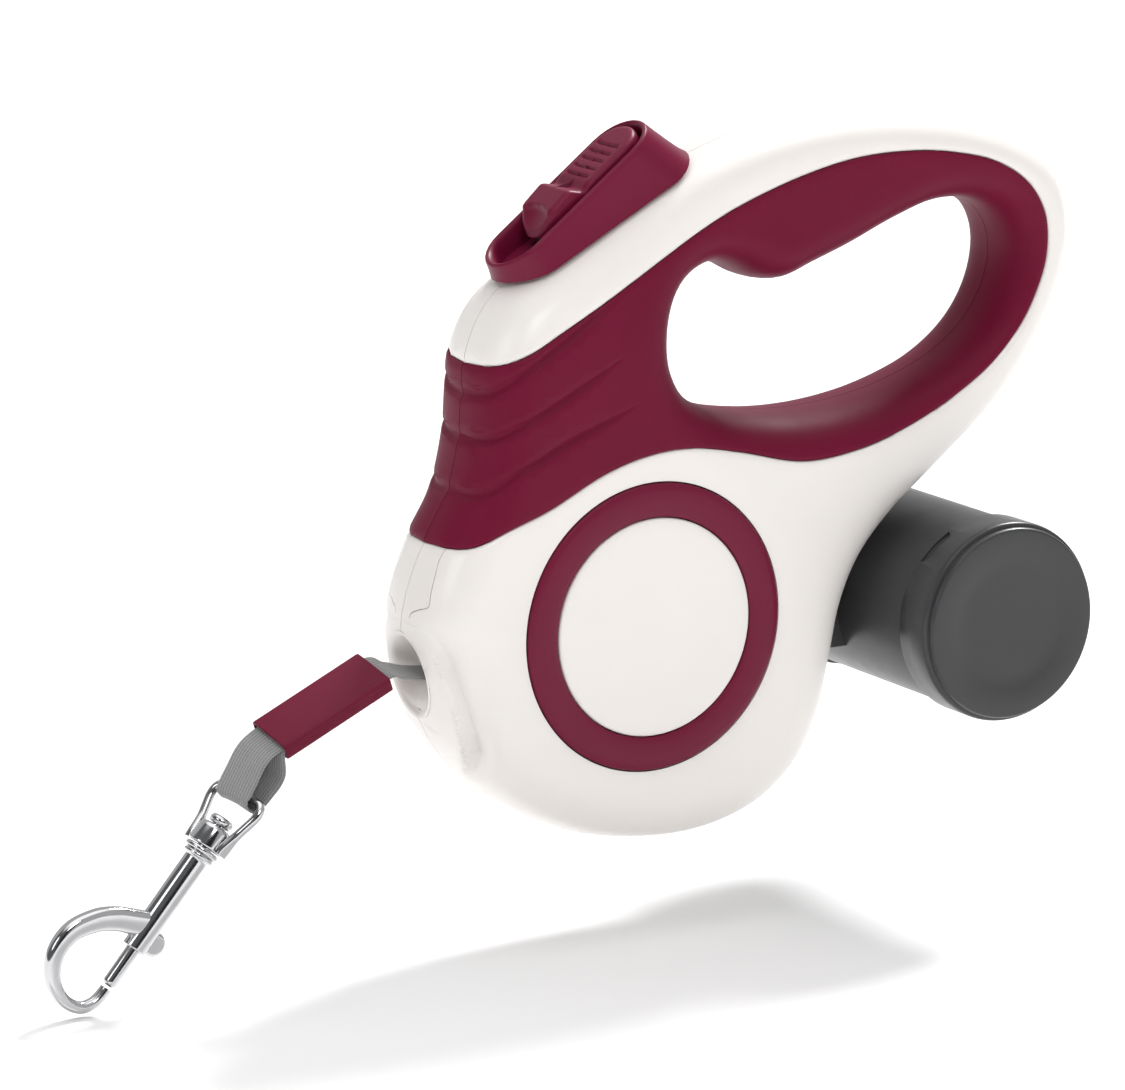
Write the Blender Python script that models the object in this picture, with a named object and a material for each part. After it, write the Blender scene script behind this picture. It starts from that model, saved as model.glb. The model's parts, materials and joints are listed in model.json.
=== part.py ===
"""Retractable tape leash for a dog, with a brake button, a bolt snap and a waste bag dispenser.

Blender 4.5, metres, +Z up. The leash is held by the grip bar over its finger hole, and the origin
is the middle of that bar. +X runs from the nozzle to the back of the handle, the tape reel turns
about Y, and -Y is the left side. Every group of parts is built in a frame of its own: an empty on
the reel's axis, one in the button's top plane, one on the snap's eye and one in the dispenser.
"""
import math

import bmesh
import bpy
import numpy as np
from mathutils import Matrix, Vector
from mathutils.geometry import delaunay_2d_cdt

MM = 0.001

# ---- Driving dimensions ------------------------------------------------------------------------
GAP = 0.3 * MM                     # clearance between pieces that touch
REEL_AXIS = (-55.0 * MM, 0.0, -92.4 * MM)

# Housing: both halves share one outline, one finger hole and one rounded edge.
BODY_HALF = 15.8 * MM              # half thickness over the reel
HANDLE_HALF = 13.0 * MM            # half thickness of the handle
BODY_EDGE = 11.0 * MM              # in-plane depth of the rounded edge on the body
HANDLE_EDGE = 8.2 * MM
EDGE_POWER = 2.4                   # roundness of the edge: 2 is an ellipse
THIN_FROM, THIN_TO = 58.0 * MM, 98.0 * MM   # distance from the reel over which the body thins
WALL = 2.2 * MM
GRIP_THICK = 1.5 * MM
GRIP_RECESS = GRIP_THICK + GAP
GRIP_WALL = GRIP_RECESS + 1.8 * MM

OUTLINE = [(2, -50), (-14, -46.8), (-30, -39.2), (-43.5, -27.5), (-51.3, -14), (-54.3, 0), (-52.9, 11),
           (-48.3, 22), (-42.8, 31.5), (-39.8, 43), (-39, 53), (-38.2, 61.5), (-34.6, 69.8),
           (-28.5, 76), (-16, 83), (0, 91.8), (14, 98.8), (28, 103.6), (42, 106.4), (55, 107.4),
           (68, 107), (81, 105.2), (93, 102), (103, 97.2), (110.5, 90.2), (114.2, 80), (113.2, 69.5),
           (109, 58), (101, 45.6), (91, 35), (78, 25), (66.5, 16.5), (58, 7.5), (53.2, -2.5),
           (50.6, -14), (47.2, -27), (40.5, -38.5), (30, -46.3), (16.5, -50)]
HOLE = [(13, 74.6), (19, 77), (25, 75.6), (31, 72.6), (37.5, 71.8), (45, 74.2), (55, 77.6), (66, 82),
        (77, 85.3), (87, 85.2), (94.2, 81.4), (97.6, 74), (96.3, 65), (91, 56.6), (82, 49.8),
        (70, 45), (57, 42.2), (43, 41.3), (30, 42.3), (19, 44.8), (12, 49.2), (8.4, 55.8),
        (7.8, 63), (9.4, 70)]
# The grip's edge, run once round: front of the neck, under the hole, round the handle and back.
# Its first and last points lie outside the outline, so the grip wraps over the neck's front edge.
SEAM = [(-56, 22), (-49, 21.6), (-43.5, 22.4), (-36, 25.6), (-26, 29), (-13, 35), (-2, 38),
        (9, 38.6), (22, 36.4), (38, 32.6), (52, 33.4), (65, 36.4), (78, 41.3), (89.5, 48), (98, 56.6),
        (103, 66), (104.8, 74), (103.8, 82), (99, 89), (90.5, 94.2), (80, 97), (68, 98.4),
        (53.5, 98), (38.5, 95), (23, 90), (12, 85.2), (-2, 77.8), (-12, 72.4), (-22, 67.4),
        (-32, 62.4), (-41.3, 58.8), (-47, 58), (-54, 58)]

# Reel
REEL_TEETH = 24
TOOTH_ROOT, TOOTH_TIP = 40.4 * MM, 43.1 * MM
TAPE_WIDTH, TAPE_THICK = 10.0 * MM, 0.6 * MM
DRUM_OUT, DRUM_IN = 23.0 * MM, 21.6 * MM
WOUND_RADIUS = 38.5 * MM
AXLE_RADIUS = 3.0 * MM
SPOOL_BORE = AXLE_RADIUS + GAP
SPOOL_SIDE = 8.0 * MM              # outer face of the spool's side plates, from the middle
PLATE = 1.2 * MM
SPRING_TURNS = 4

# Side trim
RING_OUT, RING_IN = 31.9 * MM, 24.4 * MM
TRIM_FACE, DISC_FACE = 16.3 * MM, 16.6 * MM
WINDOW = RING_OUT + GAP
RING_FLANGE = RING_OUT + 2.2 * MM
RING_SEAT = RING_FLANGE + 0.5 * MM

# Button group: origin, and the slope of the top plane against +X
BUTTON_CENTRE, BUTTON_SLOPE = (-13.2 * MM, 0.0, 94.4 * MM), math.radians(37.5)
LAND_SLOPE = math.radians(28.0)
BEZEL_LENGTH, BEZEL_WIDTH = 47.0 * MM, 18.0 * MM
BUTTON_LENGTH, BUTTON_WIDTH = 33.0 * MM, 12.6 * MM
PAWL_PIVOT = (-26.5 * MM, 0.0, 57.5 * MM)

# Tape, sleeve and snap
EYE_BAR = (-93.3 * MM, 0.0, -28.0 * MM)
SNAP_SLOPE = math.radians(49.0)    # the snap's axis, below -X
TAPE_ROLL = math.radians(18.0)     # the sleeve, the loop and the eye lean this much, near side down
SLEEVE_START, SLEEVE_END = (-60.6 * MM, 0.0, -5.4 * MM), (-86.2 * MM, 0.0, -17.2 * MM)
SLEEVE_WIDTH, SLEEVE_THICK = 12.4 * MM, 3.8 * MM
BARREL_FROM, BARREL_TO, BOLT_TIP = 16.0 * MM, 40.0 * MM, 49.4 * MM
BARREL_RADIUS, BARREL_BORE, BOLT_RADIUS = 2.75 * MM, 1.95 * MM, 1.6 * MM

# Dispenser
CAN_CENTRE = (79.5 * MM, 0.0, -4.6 * MM)
CAN_HALF, CAP_SKIRT = 37.5 * MM, 14.6 * MM
CAP_RADIUS, BARREL_OUT, CAN_BARREL_IN = 22.5 * MM, 20.9 * MM, 19.1 * MM
BRACKET_SCREW, BRACKET_SCREW_AT = 1.2 * MM, (0.0, 6.0 * MM, -6.0 * MM)

SCREWS = [(-30.5, 40.5), (-1, 73), (29, 88), (107.4, 78), (60, 27)]
BOSS_RADIUS, HEAD_HOLE = 3.0 * MM, 2.4 * MM
HOUSING_STEP = 8.6 * MM            # spacing of the points along the housing's edges


# ---- Scene, materials and mesh helpers ---------------------------------------------------------
def clear_scene():
    for obj in list(bpy.data.objects):
        bpy.data.objects.remove(obj, do_unlink=True)


def material(name, colour, roughness, metallic=0.0):
    mat = bpy.data.materials.new(name)
    mat.use_nodes = True
    shader = mat.node_tree.nodes["Principled BSDF"]
    shader.inputs["Base Color"].default_value = (*colour, 1.0)
    shader.inputs["Roughness"].default_value = roughness
    shader.inputs["Metallic"].default_value = metallic
    return mat


def frame(name, location, rotation=None, parent=None):
    """An empty that a group of parts is placed by."""
    empty = bpy.data.objects.new(name, None)
    empty.location = location
    if rotation is not None:
        empty.rotation_euler = rotation.to_euler()
    empty.parent = parent
    bpy.context.scene.collection.objects.link(empty)
    return empty


def add(name, bm, parent, mat=None, smooth=35.0):
    """Closes a bmesh into a named object whose faces point out."""
    bmesh.ops.remove_doubles(bm, verts=bm.verts, dist=1e-7)
    bmesh.ops.recalc_face_normals(bm, faces=bm.faces)
    mesh = bpy.data.meshes.new(name)
    bm.to_mesh(mesh)
    bm.free()
    mesh.shade_smooth()
    mesh.set_sharp_from_angle(angle=math.radians(smooth))
    obj = bpy.data.objects.new(name, mesh)
    obj.parent = parent
    if mat is not None:
        mesh.materials.append(mat)
    bpy.context.scene.collection.objects.link(obj)
    return obj


def boolean(obj, other, operation):
    modifier = obj.modifiers.new(other.name, "BOOLEAN")
    modifier.operation = operation
    modifier.object = other
    other.hide_render = True
    other.display_type = "WIRE"
    return obj


def cut(obj, cutter):
    return boolean(obj, cutter, "DIFFERENCE")


def fuse(obj, other):
    return boolean(obj, other, "UNION")


def loft(loops, closed=False):
    """Skins loops of equal length; open lofts get both end faces."""
    bm = bmesh.new()
    rows = [[bm.verts.new(p) for p in loop] for loop in loops]
    pairs = list(zip(rows, rows[1:]))
    if closed:
        pairs.append((rows[-1], rows[0]))
    for a, b in pairs:
        for i in range(len(a)):
            j = (i + 1) % len(a)
            bm.faces.new((a[i], a[j], b[j], b[i]))
    if not closed:
        bm.faces.new(rows[0])
        bm.faces.new(rows[-1])
    return bm


def on_axis(axis, radius, along, angle):
    """A point on a circle round the X, Y or Z axis."""
    c, s = radius * math.cos(angle), radius * math.sin(angle)
    return {"X": (along, c, s), "Y": (c, along, s), "Z": (c, s, along)}[axis]


def turned(profile, axis="Y", sides=32):
    """Turns a closed profile of (radius, along) points; a radius of 0 is a pole."""
    bm = bmesh.new()
    rings = []
    for radius, along in profile:
        if radius == 0:
            rings.append([bm.verts.new(on_axis(axis, 0, along, 0))] * sides)
        else:
            rings.append([bm.verts.new(on_axis(axis, radius, along, 2 * math.pi * k / sides))
                          for k in range(sides)])
    for a, b in zip(rings, rings[1:] + rings[:1]):
        if a[0] is a[1] and b[0] is b[1]:
            continue
        for k in range(sides):
            j = (k + 1) % sides
            corners = []
            for vert in (a[k], a[j], b[j], b[k]):
                if vert not in corners:
                    corners.append(vert)
            bm.faces.new(corners)
    return bm


def rod(radius, start, end, axis="Y", sides=20):
    return turned([(0, start), (radius, start), (radius, end), (0, end)], axis, sides)


def tube(outer, inner, start, end, axis="Y", sides=32):
    return turned([(inner, start), (outer, start), (outer, end), (inner, end)], axis, sides)


def block(low, high):
    bm = bmesh.new()
    bmesh.ops.create_cube(bm, size=1.0)
    for vert in bm.verts:
        vert.co = [(l + h) / 2 + c * (h - l) for l, h, c in zip(low, high, vert.co)]
    return bm


def prism(outline, near, far):
    """An outline of (x, z) points, extruded along Y."""
    return loft([[(x, near, z) for x, z in outline], [(x, far, z) for x, z in outline]])


def smooth_path(points, step, closed=False):
    """Points every step or so along a Catmull-Rom curve through the given points."""
    points = [Vector(p) for p in points]
    count = len(points)
    path = []
    for i in range(count if closed else count - 1):
        if closed:
            p0, p1, p2, p3 = (points[(i + k - 1) % count] for k in range(4))
        else:
            p0, p1, p2, p3 = (points[min(max(i + k - 1, 0), count - 1)] for k in range(4))
        pieces = max(1, round((p2 - p1).length / step))
        for k in range(pieces):
            t = k / pieces
            path.append(0.5 * (2 * p1 + (p2 - p0) * t + (2 * p0 - 5 * p1 + 4 * p2 - p3) * t * t
                               + (3 * p1 - p0 - 3 * p2 + p3) * t ** 3))
    if not closed:
        path.append(points[-1])
    return path


def swept(path, section, side, closed=False):
    """Sweeps section(i), a list of (across, over) offsets, along a path; side(i) is the across axis."""
    loops = []
    count = len(path)
    for i, point in enumerate(path):
        before = path[i - 1] if i or closed else path[0]
        after = path[(i + 1) % count] if i + 1 < count or closed else path[-1]
        along = (after - before).normalized()
        over = along.cross(side(i)).normalized()
        across = over.cross(along)
        loops.append([point + across * a + over * b for a, b in section(i)])
    return loft(loops, closed)


def round_section(across, over, sides):
    return [(across * math.cos(2 * math.pi * k / sides), over * math.sin(2 * math.pi * k / sides))
            for k in range(sides)]


def coil(radius, wire, start, end, turns, axis, sides=4, per_turn=8):
    """A helical spring round an axis."""
    count = turns * per_turn
    path = [Vector(on_axis(axis, radius, start + (end - start) * k / count, 2 * math.pi * k / per_turn))
            for k in range(count + 1)]
    middle = Vector(on_axis(axis, 0, 1, 0))
    return swept(path, lambda i: round_section(wire, wire, sides), lambda i: middle)


def stadium(length, width, along, sides=8):
    """A loop with round ends, from its rear end on; points are (along + x, y)."""
    half, r = length / 2 - width / 2, width / 2
    loop = []
    for centre, start in ((half, -math.pi / 2), (-half, math.pi / 2)):
        for k in range(sides + 1):
            a = start + math.pi * k / sides
            loop.append((along + centre + r * math.cos(a), r * math.sin(a)))
    return loop


# ---- Housing surface ---------------------------------------------------------------------------
def scaled(points):
    return [(x * MM, z * MM) for x, z in points]


def edge_loops(step):
    """The outline and the hole as arrays of points, with the normals that point into the material."""
    loops = []
    for points in (OUTLINE, HOLE):
        line = np.array([tuple(p) for p in smooth_path(scaled(points), step, closed=True)])
        after, before = np.roll(line, -1, 0), np.roll(line, 1, 0)
        along = after - before
        normal = np.stack([-along[:, 1], along[:, 0]], 1)
        normal /= np.linalg.norm(normal, axis=1)[:, None]
        area = np.sum(line[:, 0] * after[:, 1] - after[:, 0] * line[:, 1])
        inward = 1.0 if (area > 0) == (points is OUTLINE) else -1.0
        loops.append((line, normal * inward))
    return loops


def nearest_edge(points, loops):
    """Distance to the nearest edge and the smoothed normal there."""
    best = np.full(len(points), np.inf)
    normals = np.zeros((len(points), 2))
    for line, normal in loops:
        start, end = line, np.roll(line, -1, 0)
        run = end - start
        rel = points[:, None, :] - start[None]
        t = np.clip((rel * run).sum(2) / (run * run).sum(1), 0, 1)
        distance = np.linalg.norm(rel - t[:, :, None] * run, axis=2)
        k = distance.argmin(1)
        rows = np.arange(len(points))
        d, t = distance[rows, k], t[rows, k][:, None]
        blended = normal[k] * (1 - t) + np.roll(normal, -1, 0)[k] * t
        closer = d < best
        best[closer] = d[closer]
        normals[closer] = blended[closer]
    return best, normals / np.linalg.norm(normals, axis=1)[:, None]


def thinning(points):
    """0 over the reel, 1 on the handle."""
    t = np.clip((np.linalg.norm(points, axis=1) - THIN_FROM) / (THIN_TO - THIN_FROM), 0, 1)
    return t * t * (3 - 2 * t)


def edge_depth(points):
    return BODY_EDGE + (HANDLE_EDGE - BODY_EDGE) * thinning(points)


def surface(points, loops):
    """Points on the left half's outer skin over (x, z) points, and the skin's normals there."""
    distance, inward = nearest_edge(points, loops)
    half = BODY_HALF + (HANDLE_HALF - BODY_HALF) * thinning(points)
    depth = edge_depth(points)
    left = 1 - np.clip(distance / depth, 0, 1)
    rise = np.maximum(1 - left ** EDGE_POWER, 1e-9)
    height = half * rise ** (1 / EDGE_POWER)
    height[distance < 1e-7] = 0
    slope = half / depth * left ** (EDGE_POWER - 1) * rise ** (1 / EDGE_POWER - 1)
    skin = np.stack([points[:, 0], -height, points[:, 1]], 1)
    normal = np.stack([-slope * inward[:, 0], -np.ones(len(points)), -slope * inward[:, 1]], 1)
    return skin, normal / np.linalg.norm(normal, axis=1)[:, None]


def inside(points, line):
    """Which points lie inside a closed line."""
    x, z = points[:, 0][:, None], points[:, 1][:, None]
    ax, az = line[:, 0], line[:, 1]
    bx, bz = np.roll(ax, -1), np.roll(az, -1)
    with np.errstate(divide="ignore", invalid="ignore"):
        cross = ((az > z) != (bz > z)) & (x < (bx - ax) * (z - az) / (bz - az) + ax)
    return cross.sum(1) % 2 == 1


def side_layout(loops, step):
    """Triangles over the side of the housing: (points, triangles, is-grip per triangle)."""
    seam = np.array([tuple(p) for p in smooth_path(scaled(SEAM), step)])
    seam_loop = [(seam, np.zeros_like(seam) + 1.0)]
    points = []
    edges = []
    for line in (loops[0][0], loops[1][0], seam):
        first = len(points)
        points += line.tolist()
        edges += [(first + i, first + (i + 1) % len(line)) for i in range(len(line))]
    for line, normal in loops:
        for level in (0.1, 0.4, 1.0):
            depth = level * edge_depth(line)[:, None]
            ring = (line + normal * depth)[:: 1 if level < 1 else 2]
            clear = nearest_edge(ring, loops)[0] > 0.97 * depth[:: 1 if level < 1 else 2, 0]
            clear &= nearest_edge(ring, seam_loop)[0] > 1.5 * MM
            points += ring[clear].tolist()
    pitch = 3 * step
    grid = np.array([(x * pitch + (z % 2) * pitch / 2, z * pitch)
                     for x in range(-4, 8) for z in range(-4, 8)])
    clear = nearest_edge(grid, loops)[0] > edge_depth(grid) + 2 * MM
    clear &= inside(grid, loops[0][0]) & (nearest_edge(grid, seam_loop)[0] > 4 * MM)
    points += grid[clear].tolist()
    verts, _, faces, *_ = delaunay_2d_cdt([Vector(p) for p in points], edges, [], 0, 1e-6)
    verts = np.array([tuple(v) for v in verts])
    faces = np.array([list(f) for f in faces])
    middle = verts[faces].mean(1)
    keep = inside(middle, loops[0][0]) & ~inside(middle, loops[1][0])
    faces, middle = faces[keep], middle[keep]
    return verts, faces, inside(middle, seam)


def side_edges(faces):
    """Edges of the triangles, each with the faces that use it."""
    found = {}
    for f, face in enumerate(faces):
        for k in range(3):
            key = tuple(sorted((face[k], face[(k + 1) % 3])))
            found.setdefault(key, []).append(f)
    return found


def mirrored(points, side):
    """Left-half points with the joint gap left open, put on the left (-1) or the right (+1) side."""
    out = points.copy()
    out[:, 1] = np.minimum(out[:, 1], -GAP / 2)
    out[:, 1] *= -side
    return out


def shell_mesh(verts, faces, grip, loops, side):
    """A housing half: outer skin, stepped down under the grip, and an inner skin."""
    skin, normal = surface(verts, loops)
    in_grip = np.zeros(len(verts), bool)
    in_white = np.zeros(len(verts), bool)
    in_grip[faces[grip].ravel()] = True
    in_white[faces[~grip].ravel()] = True
    wall = np.where(in_grip, GRIP_WALL, WALL)[:, None]
    high = mirrored(skin, side)
    low = mirrored(skin - GRIP_RECESS * normal, side)
    inner = mirrored(skin - wall * normal, side)
    bm = bmesh.new()
    used = in_grip | in_white
    high = [bm.verts.new(p) if in_white[i] else None for i, p in enumerate(high)]
    low = [bm.verts.new(p) if in_grip[i] else None for i, p in enumerate(low)]
    inner = [bm.verts.new(p) if used[i] else None for i, p in enumerate(inner)]
    for face, is_grip in zip(faces, grip):
        top = low if is_grip else high
        bm.faces.new([top[v] for v in face])
        bm.faces.new([inner[v] for v in face[::-1]])
    for (a, b), users in side_edges(faces).items():
        if len(users) == 1:
            if grip[users[0]]:
                bm.faces.new((low[a], low[b], inner[b]))
                bm.faces.new((low[a], inner[b], inner[a]))
                continue
            if in_grip[a]:
                a, b = b, a
            rim = [high[b], low[b], inner[b]] if in_grip[b] else [high[b], inner[b]]
            for first, second in zip(rim, rim[1:] + [inner[a]]):
                bm.faces.new((high[a], first, second))
        elif grip[users[0]] != grip[users[1]]:
            bm.faces.new((high[a], high[b], low[b]))
            bm.faces.new((high[a], low[b], low[a]))
    return bm


def grip_mesh(verts, faces, grip, loops, side):
    """The soft skin in the recess; its edge keeps a gap to the shell's step."""
    edges = side_edges(faces)
    moved = verts.copy()
    centre = verts[faces].mean(1)
    for (a, b), users in edges.items():
        if len(users) == 2 and grip[users[0]] != grip[users[1]]:
            within = users[0] if grip[users[0]] else users[1]
            run = verts[b] - verts[a]
            inward = np.array([-run[1], run[0]]) / np.linalg.norm(run)
            if inward @ (centre[within] - verts[a]) < 0:
                inward = -inward
            moved[[a, b]] += inward * GAP / 2
    distance = nearest_edge(verts, loops)[0]
    on_rim = distance < 1e-7
    skin, normal = surface(moved, loops)
    rim_skin, rim_normal = surface(verts, loops)
    skin[on_rim] = rim_skin[on_rim] + (moved - verts)[on_rim][:, [0, 0, 1]] * (1, 0, 1)
    normal[on_rim] = rim_normal[on_rim]
    top = mirrored(skin, side)
    under = mirrored(skin - GRIP_THICK * normal, side)
    bm = bmesh.new()
    ids = sorted(set(faces[grip].ravel()))
    top = {i: bm.verts.new(top[i]) for i in ids}
    under = {i: bm.verts.new(under[i]) for i in ids}
    for face in faces[grip]:
        bm.faces.new([top[v] for v in face])
        bm.faces.new([under[v] for v in face[::-1]])
    for (a, b), users in edges.items():
        if sum(bool(grip[f]) for f in users) == 1:
            bm.faces.new((top[a], top[b], under[b]))
            bm.faces.new((top[a], under[b], under[a]))
    return bm


# ---- Groups of parts ---------------------------------------------------------------------------
def screw_holes(obj, reel, profile, where=range(len(SCREWS))):
    for n in where:
        x, z = SCREWS[n]
        cutter = add(f"{obj.name}_hole_{n}", turned(profile, sides=12), reel)
        cutter.location = (x * MM, 0, z * MM)
        cut(obj, cutter)


def make_housing(reel, white, grip_mat, steel):
    loops = edge_loops(HOUSING_STEP)
    verts, faces, grip = side_layout(loops, HOUSING_STEP)
    seats = np.array(scaled(SCREWS))
    boss_tops = -surface(seats, loops)[0][:, 1] - WALL - 0.3 * MM
    boss_tops[:3] -= GRIP_WALL - WALL
    pilot, neck, head = 1.4 * MM, 7 * MM, 20 * MM
    for side, name in ((-1, "left"), (1, "right")):
        shell = add(f"{name}_shell", shell_mesh(verts, faces, grip, loops, side), reel, white)
        seat = side * (BODY_HALF - WALL - 0.1 * MM)
        opening = [(0, side * 8 * MM), (RING_SEAT, side * 8 * MM), (RING_SEAT, seat), (WINDOW, seat),
                   (WINDOW, side * 20 * MM), (0, side * 20 * MM)]
        window = add(f"{name}_window", turned(opening), reel)
        cut(shell, window)
        for n, (x, z) in enumerate(SCREWS):
            boss = add(f"{name}_boss_{n}", rod(BOSS_RADIUS, side * 0.4 * MM, side * (boss_tops[n] + 1.1 * MM),
                                               sides=12), reel)
            boss.location = (x * MM, 0, z * MM)
            fuse(shell, boss)
        nose = add(f"{name}_nose", nozzle_blank(GAP), reel)
        cut(shell, nose)
        slot = add(f"{name}_slot", block((-17 * MM, -5.5 * MM, -16 * MM), (11 * MM, 5.5 * MM, 12 * MM)), reel)
        slot.location, slot.rotation_euler = BUTTON_CENTRE, (0, -BUTTON_SLOPE, 0)
        cut(shell, slot)
        shelf = add(f"{name}_shelf", block((1 * MM, min(side * 0.2, side * 12.6) * MM, -17.8 * MM),
                                           (7 * MM, max(side * 0.2, side * 12.6) * MM, -15.9 * MM)), reel)
        shelf.location, shelf.rotation_euler = slot.location, slot.rotation_euler
        fuse(shell, shelf)
        skin = add(f"{name}_grip", grip_mesh(verts, faces, grip, loops, side), reel, grip_mat)
        if side < 0:
            screw_holes(shell, reel, [(0, 0), (pilot, 0), (pilot, -9 * MM), (0, -9 * MM)])
        else:
            screw_holes(shell, reel, [(0, 0), (pilot, 0), (pilot, neck), (HEAD_HOLE, neck), (HEAD_HOLE, head),
                                      (0, head)])
            screw_holes(skin, reel, [(0, neck), (HEAD_HOLE, neck), (HEAD_HOLE, head), (0, head)], (0, 1, 2))
    for n, (x, z) in enumerate(SCREWS):
        profile = [(0, -8 * MM), (1.1 * MM, -7.2 * MM), (1.1 * MM, 7.3 * MM), (2.1 * MM, 7.3 * MM),
                   (2.1 * MM, 8.6 * MM), (1.5 * MM, 9 * MM), (0, 9 * MM)]
        screw = add(f"housing_screw_{n + 1}", turned(profile, sides=10), reel, steel)
        screw.location = (x * MM, 0, z * MM)


def nozzle_blank(grow):
    """The nozzle's outer body: oval sections from inside the housing out to the nose."""
    loops = []
    for x, half_y, low, high in ((-43.5, 7.6, -21, 3.4), (-47.5, 7.9, -22.5, 4.2), (-55.2, 6.9, -17.5, 2.6)):
        middle, half_z = (low + high) / 2 * MM, (high - low) / 2 * MM + grow
        ring = []
        for k in range(20):
            a = 2 * math.pi * k / 20
            lean = 0.18 * half_z * math.sin(a) * (x < -50)
            ring.append((x * MM - abs(grow) * (x < -50) - lean, (half_y * MM + grow) * math.cos(a),
                         middle + half_z * math.sin(a)))
        loops.append(ring)
    return loft(loops)


def make_nozzle(reel, white):
    nozzle = add("nozzle", nozzle_blank(0), reel, white)
    slit = add("nozzle_slit", block((-60 * MM, -5.6 * MM, -8.6 * MM), (-40 * MM, 5.6 * MM, -5.8 * MM)), reel)
    cut(nozzle, slit)
    flare = [[(x * MM, y * MM * math.cos(math.pi * k / 8), (-7.4 + z * math.sin(math.pi * k / 8)) * MM)
              for k in range(16)] for x, y, z in ((-47.5, 4.2, 1.2), (-52, 5.6, 4.4), (-62, 7.2, 8.6))]
    cut(nozzle, add("nozzle_flare", loft(flare), reel))


def make_trim(reel, white, maroon):
    for side, name in ((-1, "left"), (1, "right")):
        back = BODY_HALF - WALL
        ring = [(RING_IN, side * TRIM_FACE), (RING_OUT - 0.7 * MM, side * TRIM_FACE),
                (RING_OUT, side * (TRIM_FACE - 0.6 * MM)), (RING_OUT, side * (back - GAP)),
                (RING_FLANGE, side * (back - GAP)), (RING_FLANGE, side * (back - 1.4 * MM)),
                (RING_IN, side * (back - 1.4 * MM))]
        add(f"{name}_trim_ring", turned(ring, sides=32), reel, maroon)
        disc = [(0, side * DISC_FACE), (RING_IN - 1.2 * MM, side * DISC_FACE),
                (RING_IN - GAP, side * (DISC_FACE - 0.6 * MM)), (RING_IN - GAP, side * (back - 1.8 * MM)),
                (RING_IN + 2 * MM, side * (back - 1.8 * MM)), (RING_IN + 2 * MM, side * (back - 2.8 * MM)),
                (0, side * (back - 2.8 * MM))]
        add(f"{name}_side_disc", turned(disc, sides=32), reel, white)


def make_reel(reel, nylon, tape, steel):
    pitch = 2 * math.pi / REEL_TEETH
    start = math.pi / 2 + math.radians(13.0)
    teeth = []
    for n in range(REEL_TEETH):
        for part, radius in ((-0.12, TOOTH_ROOT), (0.12, TOOTH_ROOT), (0.34, TOOTH_TIP), (0.62, TOOTH_TIP)):
            angle = start + (n + part) * pitch
            teeth.append((radius * math.cos(angle), radius * math.sin(angle)))
    spool = add("spool", prism(teeth, -SPOOL_SIDE, -SPOOL_SIDE + PLATE), reel, nylon)
    fuse(spool, add("spool_drum", tube(DRUM_OUT, DRUM_IN, -SPOOL_SIDE + 0.5 * MM, 6.4 * MM), reel))
    fuse(spool, add("spool_hub", tube(4.6 * MM, SPOOL_BORE, -SPOOL_SIDE - 1 * MM, -SPOOL_SIDE + 4 * MM,
                                      sides=20), reel))
    cut(spool, add("spool_bore", rod(SPOOL_BORE, -12 * MM, 12 * MM, sides=20), reel))
    add("spool_flange", tube(TOOTH_ROOT, 18 * MM, SPOOL_SIDE - PLATE, SPOOL_SIDE), reel, nylon)
    add("wound_tape", tube(WOUND_RADIUS, DRUM_OUT + GAP, -TAPE_WIDTH / 2, TAPE_WIDTH / 2, sides=32), reel, tape)
    add("spring_cover", turned([(SPOOL_BORE, 5.2 * MM), (17.6 * MM, 5.2 * MM), (17.6 * MM, SPOOL_SIDE),
                                (SPOOL_BORE, SPOOL_SIDE)], sides=24), reel, nylon)
    count = SPRING_TURNS * 14
    path = [Vector(on_axis("Y", (5.2 + 15.2 * k / count) * MM, 0, 2 * math.pi * k / 14))
            for k in range(count + 1)]
    strip = [(-3.6 * MM, -0.15 * MM), (4.4 * MM, -0.15 * MM), (4.4 * MM, 0.15 * MM), (-3.6 * MM, 0.15 * MM)]
    add("power_spring", swept(path, lambda i: strip, lambda i: Vector((0, 1, 0))), reel, steel)
    add("axle", rod(AXLE_RADIUS, -10.4 * MM, 10.4 * MM), reel, steel)


def land_drop(y):
    """How far the crowned top of the neck has fallen at y, along the land's normal."""
    rise = (min(abs(y) / BODY_HALF, 1.0)) ** EDGE_POWER
    return BODY_EDGE * (1 - (1 - rise) ** (1 / EDGE_POWER))


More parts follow.
